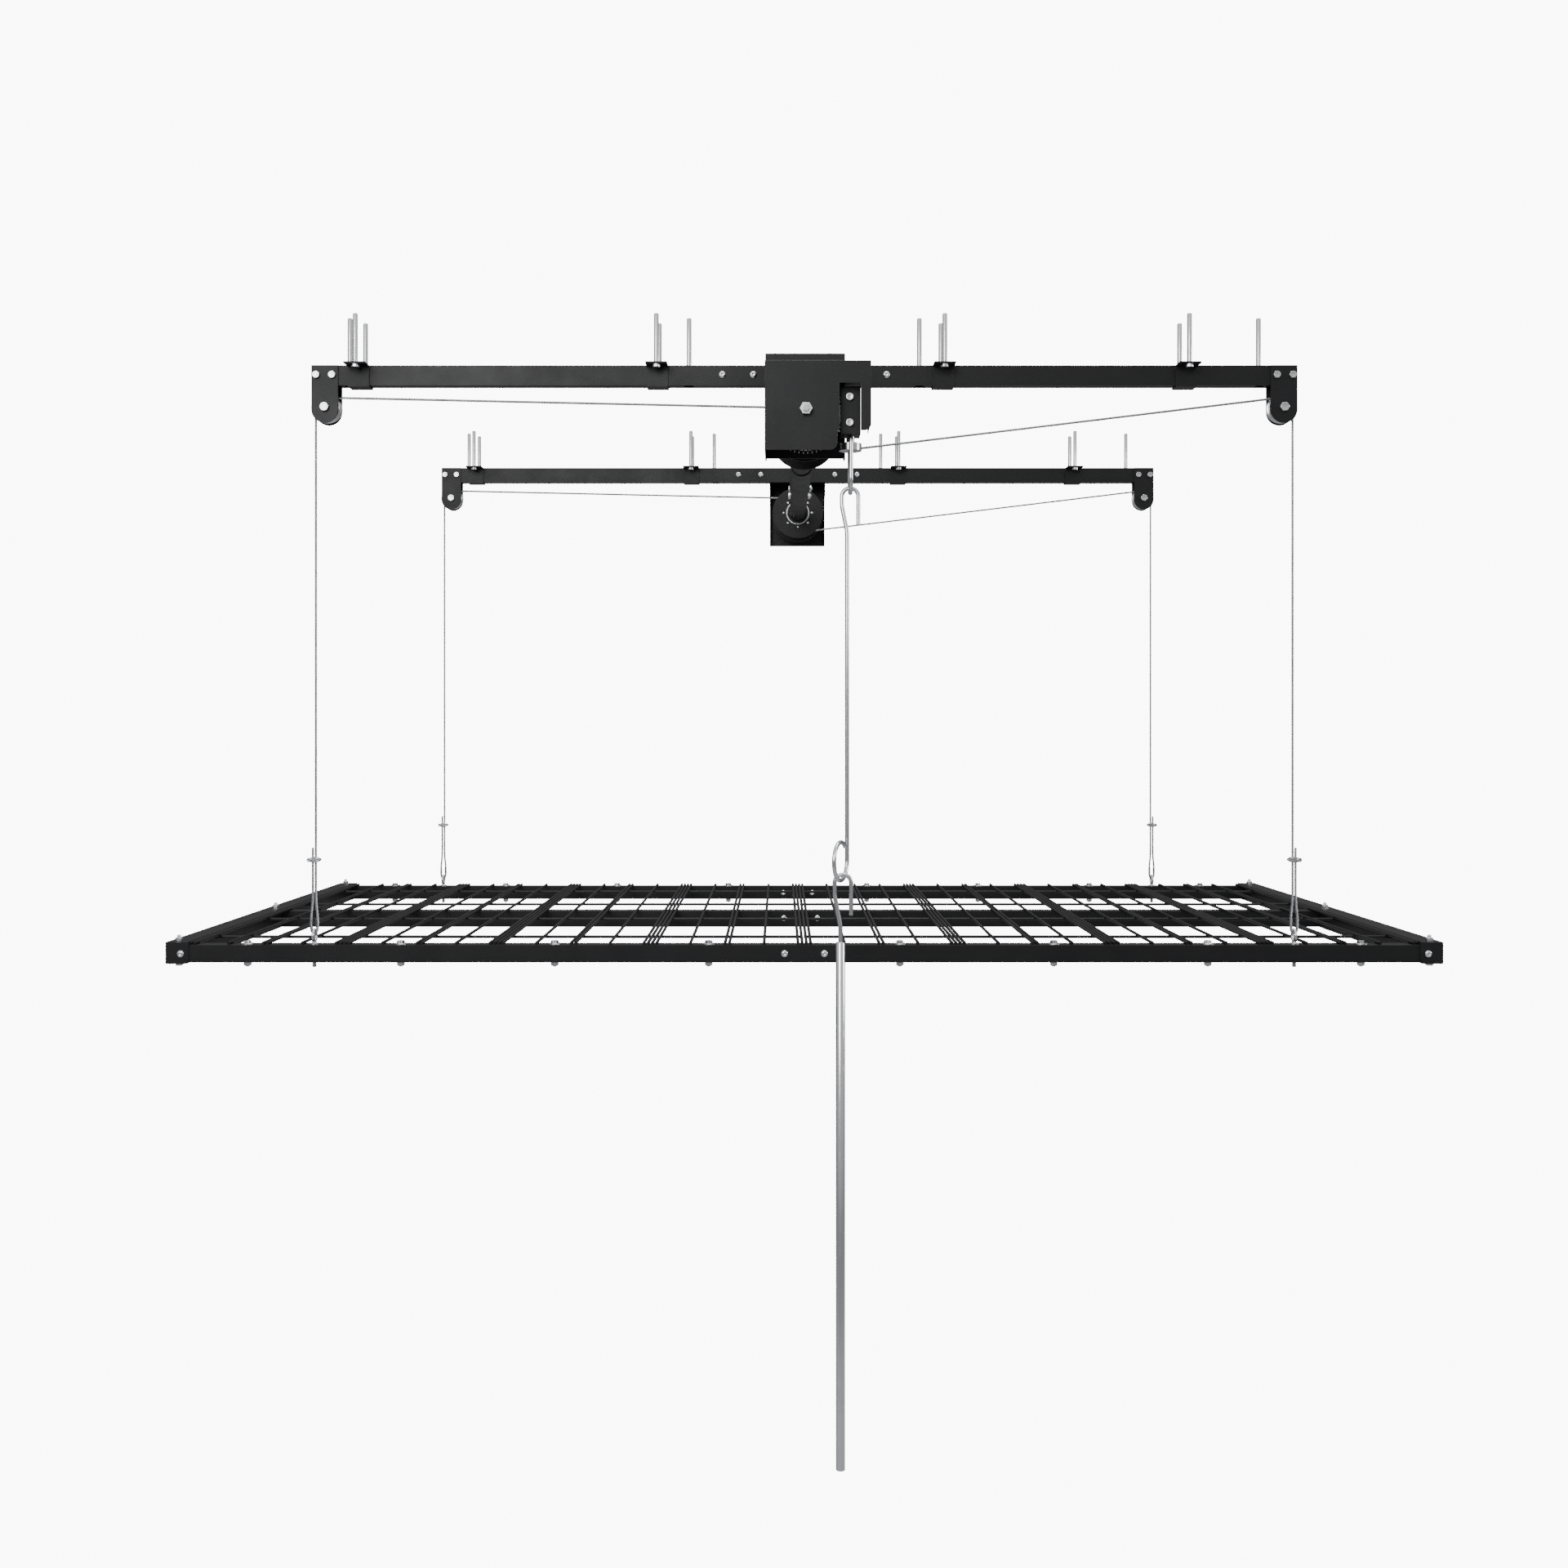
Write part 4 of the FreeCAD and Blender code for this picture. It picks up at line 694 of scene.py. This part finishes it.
set_fasteners(
    "pulley_axles_finished", "ceiling_frame", "pulley_axle_bolts",
    (axle_head, [(seat, toward_front) for seat in head_seats], bright_zinc, 23),
    (axle_pin, [(seat, toward_rear) for seat in head_seats], bright_zinc, 24),
    (axle_nut, [(seat, toward_rear) for seat in nut_seats], bright_zinc, 25),
)

# ------------------------------------------------------------------ pulleys
# Turned steel with a V groove for the cable and a zinc finish. Each turns on its axle bolt between a pair of
# cheeks.
turned_steel = finish_material(
    "turned_steel", steel_group, 1, Colour=(0.74, 0.75, 0.77, 1), Stain=(0.45, 0.45, 0.47, 1), Roughness=0.20
)
for pulley in ("front_pulley_left", "front_pulley_right", "rear_pulley_left", "rear_pulley_right"):
    eased(pulley, 0.8 * MM, turned_steel, turned_steel, "bright_steel")

# ------------------------------------------------------------------ winch mounts, gear cover and worm housing
# Folded sheet, coated like the tracks. Both mounts carry the winch shaft; the front one also carries the
# housing that the worm turns in, and the cover closes the worm wheel in front.
for sheet_part, radius in (
    ("front_mount_plate", 1.0), ("rear_mount_plate", 1.0), ("gear_cover", 0.7), ("worm_housing", 0.8),
):
    eased(sheet_part, radius * MM, satin_black, edge_highlight_black)

# ------------------------------------------------------------------ winch shaft
# Two cable drums on a long tube in two lengths, joined by a sleeve and cross bolts, with a bright steel
# spindle through the front drum. Drums and tubes are coated; each drum's inner face has a bright retaining
# ring and eight small screws round it.
for drum in ("front_drum", "rear_drum"):
    eased(drum, 0.9 * MM, satin_black, edge_highlight_black)
for tube in ("front_drive_tube", "rear_drive_tube", "tube_sleeve"):
    eased(tube, 0.7 * MM, satin_black, edge_highlight_black)
eased("winch_spindle", 0.8 * MM, turned_steel, turned_steel, "bright_steel")
eased("spindle_nut", 0.9 * MM, bright_zinc, bright_zinc, ZINC)

small_screw = ringed(
    "hub_screw_pattern",
    [(-0.2, 2.2), (0, 2.6), (0.6, 2.6), (1.2, 2.1), (1.4, 1.5), (1.3, 1.2, 1.0), (0.6, 1.2, 1.0)], sides=24,
)
ring_part = ringed(
    "hub_ring_pattern", [(0, 28.9), (0, 30.7), (2.6, 30.7), (3, 30.3), (3, 29.3), (2.6, 28.9)], sides=72
)
WIDEST_SCREW = 20 * MM
screws, rings = [], []
for ends in solids_of("drum_hub_trim"):
    forward = ends[0].y < 0
    along = toward_rear if forward else toward_front
    seat = ends[0].y if forward else ends[1].y
    (rings if ends[1].x - ends[0].x > WIDEST_SCREW else screws).append((middle_of(ends, y=seat), along))
set_fasteners(
    "drum_hub_trim_finished", "winch_shaft", "drum_hub_trim",
    (small_screw, screws, bright_zinc, 31), (ring_part, rings, turned_steel, 32),
)

cross = solids_of("tube_cross_bolts")
to_left, to_right = Vector((-1, 0, 0)), Vector((1, 0, 0))
heads = [(middle_of(ends, x=ends[0].x + HEX_HEAD), to_left) for ends in cross]
nuts = [(middle_of(ends, x=ends[1].x - CROSS_NUT), to_right) for ends in cross]
set_fasteners(
    "tube_cross_bolts_finished", "winch_shaft", "tube_cross_bolts",
    (m8_head, heads, bright_zinc, 33), (m8_nut, nuts, bright_zinc, 34),
)

# ------------------------------------------------------------------ worm wheel and worm
# The wheel and the worm are cut from bright steel. The wheel sits on the spindle inside the cover, and the
# worm's shaft ends in a collar below the housing.
eased("worm_wheel", 0.25 * MM, turned_steel, turned_steel, "bright_steel", steps=1)
mesh = nodes["worm_shaft"].data
mesh.materials.clear()
mesh.materials.append(turned_steel)

# ------------------------------------------------------------------ lifting cables
# Four 5 mm galvanised wire ropes of six strands. Each winds on a drum beside the other's, runs along the
# track to its pulley, over it and down to the deck, where a clip closes it round a thimble in the eye bolt.
rope_steel = finish_material(
    "wire_rope", steel_group, 1,
    Colour=(0.62, 0.63, 0.65, 1), Stain=(0.30, 0.30, 0.31, 1), Stain_Amount=0.45, Roughness=0.30,
    Scratch_Scale=900,
)
CABLE = 2.5 * MM
strands = bpy.data.node_groups.new("six_strand_rope", "GeometryNodeTree")
for label, kind, start in (
    ("Route", "NodeSocketGeometry", None), ("Rope Radius", "NodeSocketFloat", CABLE),
    ("Lay Length", "NodeSocketFloat", 0.034), ("Step", "NodeSocketFloat", 0.0034),
    ("Strand Sides", "NodeSocketInt", 6), ("Finish", "NodeSocketMaterial", None),
):
    socket = strands.interface.new_socket(label, in_out="INPUT", socket_type=kind)
    if start is not None:
        socket.default_value = start
strands.interface.new_socket("Rope", in_out="OUTPUT", socket_type="NodeSocketGeometry")
part, wire = strands.nodes, strands.links
given, made = part.new("NodeGroupInput"), part.new("NodeGroupOutput")
even = part.new("GeometryNodeResampleCurve")
even.mode = "LENGTH"
wire.new(given.outputs["Route"], even.inputs["Curve"])
wire.new(given.outputs["Step"], even.inputs["Length"])
along = part.new("GeometryNodeSplineParameter")
lays = worked_out(part, wire, "DIVIDE", along.outputs["Length"], given.outputs["Lay Length"])
twist = part.new("GeometryNodeSetCurveTilt")
wire.new(even.outputs[0], twist.inputs["Curve"])
wire.new(worked_out(part, wire, "MULTIPLY", lays, 2 * math.pi), twist.inputs["Tilt"])
third = worked_out(part, wire, "DIVIDE", given.outputs["Rope Radius"], 3.0)
around = part.new("GeometryNodeCurvePrimitiveCircle")
around.inputs["Resolution"].default_value = 6
wire.new(worked_out(part, wire, "MULTIPLY", third, 2.0), around.inputs["Radius"])
spots = part.new("GeometryNodeCurveToPoints")
spots.mode = "EVALUATED"
wire.new(around.outputs[0], spots.inputs["Curve"])
strand = part.new("GeometryNodeCurvePrimitiveCircle")
wire.new(given.outputs["Strand Sides"], strand.inputs["Resolution"])
wire.new(third, strand.inputs["Radius"])
bundle = part.new("GeometryNodeInstanceOnPoints")
wire.new(spots.outputs["Points"], bundle.inputs["Points"])
wire.new(strand.outputs[0], bundle.inputs["Instance"])
section = part.new("GeometryNodeRealizeInstances")
wire.new(bundle.outputs[0], section.inputs[0])
sweep = part.new("GeometryNodeCurveToMesh")
sweep.inputs["Fill Caps"].default_value = True
wire.new(twist.outputs[0], sweep.inputs["Curve"])
wire.new(section.outputs[0], sweep.inputs["Profile Curve"])
smooth = part.new("GeometryNodeSetShadeSmooth")
wire.new(sweep.outputs[0], smooth.inputs["Geometry"])
real = part.new("GeometryNodeRealizeInstances")
wire.new(smooth.outputs[0], real.inputs[0])
coat = part.new("GeometryNodeSetMaterial")
wire.new(real.outputs[0], coat.inputs["Geometry"])
wire.new(given.outputs["Finish"], coat.inputs["Material"])
wire.new(coat.outputs[0], made.inputs["Rope"])


def smooth_line(name, routes):
    """A curve with one NURBS spline for each route."""
    line = bpy.data.curves.new(name, "CURVE")
    line.dimensions = "3D"
    for route in routes:
        spline = line.splines.new("NURBS")
        spline.points.add(len(route) - 1)
        for point, spot in zip(spline.points, route):
            point.co = (*spot, 1)
        spline.order_u = 3
        spline.use_endpoint_u = True
        spline.resolution_u = 12
    drawn = bpy.data.objects.new(name, line)
    bpy.context.scene.collection.objects.link(drawn)
    return drawn


def rope(name, routes, **sizes):
    """Stranded rope along the routes, as a plain mesh object."""
    draft = smooth_line("draft", routes)
    laid = draft.modifiers.new("strands", "NODES")
    laid.node_group = strands
    set_inputs(laid, Finish=rope_steel)
    set_inputs(laid, **sizes)
    return settled(draft, name)


def round_wheel(centre, radius, start, stop, count):
    """Control points in the XZ plane that carry a smooth line round a wheel from one angle to another."""
    step = (stop - start) / count
    wide = radius / math.cos(step / 2)
    return [
        centre + Vector((math.cos(start + step * (k + 0.5)), 0, math.sin(start + step * (k + 0.5)))) * wide
        for k in range(count)
    ]


pulley_low, pulley_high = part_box("front_pulley_left")
pulley_middle = (pulley_low + pulley_high) / 2
PULLEY_PITCH, DRUM_PITCH = 21 * MM, 45 * MM
drum_low, drum_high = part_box("front_drum")
shaft_height = (drum_low.z + drum_high.z) / 2
track_ys = (pulley_middle.y, -pulley_middle.y)
fall_x = -pulley_middle.x + PULLEY_PITCH
routes = []
for y in track_ys:
    for side in (-1, 1):
        wheel, axis = Vector((pulley_middle.x, y, pulley_middle.z)), Vector((0, y, shaft_height))
        drum_side = DRUM_PITCH if side < 0 else -DRUM_PITCH
        apart = axis - wheel
        slope = math.atan2(apart.z, apart.x) + math.asin((drum_side - PULLEY_PITCH) / apart.length)
        up = Vector((-math.sin(slope), 0, math.cos(slope)))
        leave, land = wheel + up * PULLEY_PITCH, axis + up * drum_side
        bends = round_wheel(wheel, PULLEY_PITCH, math.pi, math.pi / 2 + slope, 3)
        route = [Vector((-fall_x, y, pulley_middle.z)), *bends, leave * 2 - bends[-1], land]
        routes.append([Vector((side * -p.x, p.y, p.z)) for p in route])
hold(rope("cable_runs_finished", routes), "ceiling_frame", "wire_rope", "cable_runs")

# The wound turns lie side by side, each side of the drum's middle.
PER_TURN, TURNS, GAP, PITCH = 12, 6, 3 * MM, 5 * MM
wide = DRUM_PITCH / math.cos(math.pi / PER_TURN)
routes = []
for y in track_ys:
    for side in (-1, 1):
        route = []
        for k in range(PER_TURN * TURNS + 1):
            turn = 2 * math.pi * k / PER_TURN
            out = GAP + PITCH * (0.5 + k / PER_TURN)
            across, down = wide * math.sin(turn), wide * math.cos(turn)
            route.append(Vector((side * across, y + side * out, shaft_height - side * down)))
        routes.append(route)
hold(
    rope("drum_cable_coils_finished", routes, Step=0.0052, Strand_Sides=5),
    "winch_shaft", "wire_rope", "drum_cable_coils",
)

# The hanging lengths run from the pulleys down to the deck.
fall_low, fall_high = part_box("cable_falls")
routes = [
    [Vector((side * fall_x, y, fall_high.z + (fall_low.z - fall_high.z) * k / 4)) for k in range(5)]
    for y in track_ys
    for side in (-1, 1)
]
falls = rope("cable_falls_finished", routes)
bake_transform(falls)
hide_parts("cable_falls")

# Below the clip each rope goes round its thimble and comes back up beside itself.
loop_low, loop_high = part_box("cable_end_loops")
STRAND_GAP, LOOP = 5.8 * MM, 6.5 * MM
TAIL, NECK_TOP, NECK_FOOT = 0.045, -1.028, -1.056
middle_x = fall_x + STRAND_GAP / 2
loop_foot = loop_low.z + CABLE
routes = []
for y in track_ys:
    for side in (-1, 1):
        line = [
            (fall_x, fall_low.z), (fall_x, fall_low.z - TAIL), (fall_x, NECK_TOP),
            (middle_x - LOOP, NECK_FOOT), (middle_x - LOOP, loop_foot), (middle_x + LOOP, loop_foot),
            (middle_x + LOOP, NECK_FOOT), (fall_x + STRAND_GAP, NECK_TOP),
            (fall_x + STRAND_GAP, fall_low.z - TAIL), (fall_x + STRAND_GAP, loop_high.z),
        ]
        routes.append([Vector((side * x, y, z)) for x, z in line])
hold(rope("cable_end_loops_finished", routes), "deck", "wire_rope", "cable_end_loops")

# ------------------------------------------------------------------ eye link and crank
# 8 mm plated rod, bent cold: a closed link through the worm's collar, a long rod that hooks into it and ends
# in an open ring, and a hooked rod welded into the top of a 17 mm tube that the user turns.
plated_rod = finish_material(
    "plated_rod", steel_group, 1,
    Colour=(0.86, 0.87, 0.89, 1), Stain=(0.62, 0.63, 0.66, 1), Stain_Amount=0.25, Roughness=0.14,
    Scratch_Depth=0.04,
)


def bent_line(corners, radii):
    """The corners in order, with each bend swept round at its own radius."""
    line = [corners[0]]
    for before, corner, after, radius in zip(corners, corners[1:], corners[2:], radii):
        back, on = (before - corner).normalized(), (after - corner).normalized()
        opening = back.angle(on)
        reach = radius / math.tan(opening / 2)
        centre = corner + (back + on).normalized() * radius / math.sin(opening / 2)
        start, stop = corner + back * reach - centre, corner + on * reach - centre
        sweep = start.angle(stop)
        steps = max(3, round(math.degrees(sweep) / 6))
        for k in range(steps + 1):
            gone = k / steps
            out = start * math.sin((1 - gone) * sweep) + stop * math.sin(gone * sweep)
            line.append(centre + out / math.sin(sweep))
    return line + [corners[-1]]


def round_bar(name, lines, radius, finish, closed=False):
    """Solid round bar along each line, with flat ends, as a plain mesh object."""
    curve = bpy.data.curves.new(name, "CURVE")
    curve.dimensions = "3D"
    curve.bevel_depth, curve.bevel_resolution = radius, 8
    curve.use_fill_caps = not closed
    for line in lines:
        spline = curve.splines.new("POLY")
        spline.points.add(len(line) - 1)
        for point, spot in zip(spline.points, line):
            point.co = (*spot, 1)
        spline.use_cyclic_u = closed
        spline.use_smooth = True
    curve.materials.append(finish)
    draft = bpy.data.objects.new("draft", curve)
    bpy.context.scene.collection.objects.link(draft)
    bar = settled(draft, name)
    bar.data.set_sharp_from_angle(angle=math.radians(50))
    return bar


worm_low, worm_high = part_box("worm_shaft")
axis = (worm_low + worm_high) / 2
BAR = 4 * MM
LINK_TOP, LINK_BOTTOM, LINK_HALF = -0.168, -0.266, 0.025


def beside_axis(out, height):
    return Vector((axis.x, axis.y + out, height))


link = bent_line(
    [
        beside_axis(0, LINK_TOP), beside_axis(LINK_HALF, LINK_TOP), beside_axis(LINK_HALF, LINK_BOTTOM),
        beside_axis(-LINK_HALF, LINK_BOTTOM), beside_axis(-LINK_HALF, LINK_TOP),
        beside_axis(-0.001, LINK_TOP),
    ],
    [0.011, LINK_HALF - 1e-5, LINK_HALF - 1e-5, 0.011],
)
hold(
    round_bar("eye_link_finished", [link], BAR, plated_rod, closed=True),
    "worm_and_crank", "crank_plating", "eye_link",
)

RING, RING_TURN, RING_SWEEP = 0.0345, math.radians(68), 314
HOOK, HOOK_TOP, ROD_X = 0.015, -0.2576, 0.0755
ring_middle = Vector((ROD_X - RING * math.cos(RING_TURN), axis.y - RING * math.sin(RING_TURN), -0.934))
upper_rod = bent_line(
    [
        Vector((0.096, axis.y, -0.324)), Vector((0.096, axis.y, HOOK_TOP)), Vector((0.066, axis.y, HOOK_TOP)),
        Vector((0.066, axis.y, -0.290)), Vector((ROD_X, axis.y, -0.336)),
        Vector((ROD_X, axis.y, ring_middle.z)),
    ],
    [HOOK - 1e-5, HOOK - 1e-5, 0.060, 0.060],
)
for degree in range(4, RING_SWEEP + 1, 5):
    across, down = RING * math.cos(math.radians(degree)), RING * math.sin(math.radians(degree))
    upper_rod.append(
        ring_middle + Vector((across * math.cos(RING_TURN), across * math.sin(RING_TURN), -down))
    )
hold(
    round_bar("crank_rod_finished", [upper_rod], BAR, plated_rod),
    "worm_and_crank", "crank_plating", "crank_rod",
)

POLE_X, POLE_TOP, POLE_RADIUS, POLE_BORE = 0.0623, -1079.5, 8.5, 7.3
pole_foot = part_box("crank_pole")[0].z / MM
hook_top = ring_middle.z - RING + 2 * BAR + 0.0025
pole_hook = bent_line(
    [
        Vector((0.0814, ring_middle.y, -1.031)), Vector((0.0814, ring_middle.y, hook_top)),
        Vector((0.0517, ring_middle.y, hook_top)), Vector((0.0517, ring_middle.y, -0.995)),
        Vector((POLE_X, ring_middle.y, -1.050)), Vector((POLE_X, ring_middle.y, POLE_TOP * MM - 0.004)),
    ],
    [0.0148, 0.0148, 0.060, 0.060],
)
tube = ringed(
    "pole_tube",
    [
        (POLE_TOP - 10, POLE_BORE), (pole_foot + 0.5, POLE_BORE), (pole_foot, POLE_BORE + 0.3),
        (pole_foot, POLE_RADIUS - 0.4), (pole_foot + 0.5, POLE_RADIUS), (POLE_TOP - 1.2, POLE_RADIUS),
        (POLE_TOP - 0.4, POLE_RADIUS - 0.5), (POLE_TOP, POLE_RADIUS - 1.6),
    ],
    sides=48,
)
tube.data.transform(Matrix.Translation((POLE_X, ring_middle.y, 0)))
tube.data.materials.append(plated_rod)
hold(
    joined("crank_pole_finished", [round_bar("pole_hook", [pole_hook], BAR, plated_rod), tube]),
    "worm_and_crank", "crank_plating", "crank_pole",
)

# ------------------------------------------------------------------ deck rails and side rails
# Box tube again: front, middle and rear rails in two lengths each, butted between two side rails whose
# capped ends lap the rails with a tab.
for row in ("front", "mid", "rear"):
    for half in ("left", "right"):
        eased(f"{row}_rail_{half}", 1.4 * MM, satin_black, edge_highlight_black)
for rail in ("side_rail_left", "side_rail_right"):
    eased(rail, 1.2 * MM, satin_black, edge_highlight_black)

heads, nuts = [], []
for ends in solids_of("rail_button_bolts"):
    at_back_tab = abs(ends[0].x) > 1 and ends[0].y > 0
    if at_back_tab:
        heads.append((middle_of(ends, y=ends[1].y - BUTTON), toward_rear))
        nuts.append((middle_of(ends, y=ends[0].y + THREAD_END + NUT), toward_front))
    else:
        heads.append((middle_of(ends, y=ends[0].y + BUTTON), toward_front))
        nuts.append((middle_of(ends, y=ends[1].y - THREAD_END - NUT), toward_rear))
set_fasteners(
    "rail_screws_finished", "deck", "rail_button_bolts",
    (button_head, heads, bright_zinc, 41), (nut_and_end, nuts, bright_zinc, 42),
)

downward_way = Vector((0, 0, -1))
posts = solids_of("side_rail_bolts")
TALL_NUT = 12 * MM
tall_nut = nut_pattern("post_nut_pattern", 6.5, 6.5, 4, 5.5)
heads = [(middle_of(ends, z=ends[0].z + HEX_HEAD), downward_way) for ends in posts]
nuts = [(middle_of(ends, z=ends[1].z - TALL_NUT), upward_way) for ends in posts]
set_fasteners(
    "side_rail_bolts_finished", "deck", "side_rail_bolts",
    (m8_head, heads, bright_zinc, 43), (tall_nut, nuts, bright_zinc, 44),
)

# ------------------------------------------------------------------ wire panels
# Eight panels of 6 mm drawn wire, spot welded where the wires cross and coated after welding, lie on the
# rails side by side.
for number in range(1, 9):
    panel = nodes[f"wire_panel_{number}"]
    panel.data.materials.clear()
    panel.data.materials.append(satin_black)

# Each is held by bolts with wide washers; the nuts show below the rail.
washer_head = ringed(
    "washer_head_pattern",
    [
        (0, 12.6), (0.2, 13), (1.4, 13), (1.6, 12.7), (1.6, 6.3), (1.9, 6.3), (2.0, 8, 6.5), (6.2, 8, 6.5),
        (6.85, 6.65, 6.5), (7.1, 5.8), (6.8, 4.2),
    ],
)
below_nut = nut_pattern("panel_nut_pattern", 6.5, 8, 4, 2)
held = solids_of("panel_bolts")
WASHER_HEAD, BELOW_NUT = 7.1 * MM, 10 * MM
heads = [(middle_of(ends, z=ends[1].z - WASHER_HEAD), upward_way) for ends in held]
nuts = [(middle_of(ends, z=ends[0].z + BELOW_NUT), downward_way) for ends in held]
set_fasteners(
    "panel_bolts_finished", "deck", "panel_bolts",
    (washer_head, heads, bright_zinc, 51), (below_nut, nuts, bright_zinc, 52),
)

# ------------------------------------------------------------------ eye bolts, thimbles and cable clips
# A bright zinc eye bolt stands on each rail with a formed thimble in its eye. A clip above pinches the rope
# against its own tail: a lens shaped plate with two small nuts in front.
EYE_BAR, EYE_RADIUS = 3 * MM, 11 * MM
eye_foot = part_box("eye_bolts")[0].z
eye_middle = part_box("eye_bolts")[1].z - EYE_BAR - EYE_RADIUS
rail_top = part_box("front_rail_left")[1].z
seat = (rail_top - eye_foot) / MM
threads = [(1 + k * THREAD + half * THREAD / 2, 4 - half * 0.45) for k in range(8) for half in (0, 1)]
shank = ringed(
    "eye_shank_pattern",
    [
        (-1.5, 3.0), (0, 4), *threads, (11, 4), (seat - 1.5, 4), (seat - 1.5, 9), (seat + 0.3, 9),
        (seat + 0.5, 8.6), (seat + 0.5, 4.6), ((eye_middle - eye_foot - EYE_RADIUS) / MM - 1, 4),
    ],
)
corners = [Vector((side * middle_x, y, 0)) for y in track_ys for side in (-1, 1)]
turns = [2 * math.pi * k / 48 for k in range(48)]
eye = [Vector((0, math.cos(turn) * EYE_RADIUS, math.sin(turn) * EYE_RADIUS + eye_middle)) for turn in turns]
rings = [[corner + spot for spot in eye] for corner in corners]
eyes = round_bar("eyes", rings, EYE_BAR, bright_zinc, closed=True)
feet = [(corner + Vector((0, 0, eye_foot + 1.5 * MM)), upward_way) for corner in corners]
hold(
    joined("eye_bolts_finished", [eyes, stamped("shanks", shank, feet, bright_zinc, 61)]),
    "deck", ZINC, "eye_bolts",
)
eased("thimbles", 0.2 * MM, bright_zinc, bright_zinc, ZINC, steps=1, angle=50)

clip_low, clip_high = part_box("cable_clips")
clip_height = (clip_low.z + clip_high.z) / 2
HALF_CLIP, CLIP_SIDE, CLIP_DEEP, CLIP_POINTS, CLIP_NUT_OUT = 13, 5.6, 5.4, 24, 8.3 * MM
plate = bmesh.new()
outline = []
for k in range(CLIP_POINTS):
    turn = 2 * math.pi * k / CLIP_POINTS
    fullness = 0.55 + 0.45 * abs(math.sin(turn))
    outline.append((HALF_CLIP * math.cos(turn), CLIP_SIDE * math.sin(turn) * fullness))
faces = []
for deep, shrink in ((-CLIP_DEEP, 0.9), (-CLIP_DEEP + 0.8, 1), (CLIP_DEEP - 0.8, 1), (CLIP_DEEP, 0.9)):
    faces.append([plate.verts.new((x * shrink * MM, deep * MM, z * shrink * MM)) for x, z in outline])
for near, far in zip(faces, faces[1:]):
    for k in range(CLIP_POINTS):
        after = (k + 1) % CLIP_POINTS
        plate.faces.new((near[k], near[after], far[after], far[k]))
plate.faces.new(faces[0])
plate.faces.new(faces[-1])
bmesh.ops.recalc_face_normals(plate, faces=plate.faces)
one_plate = bpy.data.meshes.new("clip_plate")
plate.to_mesh(one_plate)
plate.free()
all_plates = bmesh.new()
for corner in corners:
    before = len(all_plates.verts)
    all_plates.from_mesh(one_plate)
    all_plates.verts.ensure_lookup_table()
    bmesh.ops.translate(
        all_plates, verts=all_plates.verts[before:], vec=corner + Vector((0, 0, clip_height))
    )
mesh = bpy.data.meshes.new("clip_plates")
all_plates.to_mesh(mesh)
all_plates.free()
bpy.data.meshes.remove(one_plate)
mesh.materials.append(bright_zinc)
plates = bpy.data.objects.new("clip_plates", mesh)
bpy.context.scene.collection.objects.link(plates)
clip_nut = hex_head("clip_nut_pattern", 4, 4.8)
spots = [
    (corner + Vector((side * CLIP_NUT_OUT, -CLIP_DEEP * MM, clip_height)), toward_front)
    for corner in corners
    for side in (-1, 1)
]
hold(
    joined("cable_clips_finished", [plates, stamped("clip_nuts", clip_nut, spots, bright_zinc, 62)]),
    "deck", ZINC, "cable_clips",
)

# The patterns that the fasteners were copied from aren't part of the rack.
for pattern in [drawn for drawn in bpy.data.objects if "_pattern" in drawn.name]:
    bpy.data.objects.remove(pattern, do_unlink=True)
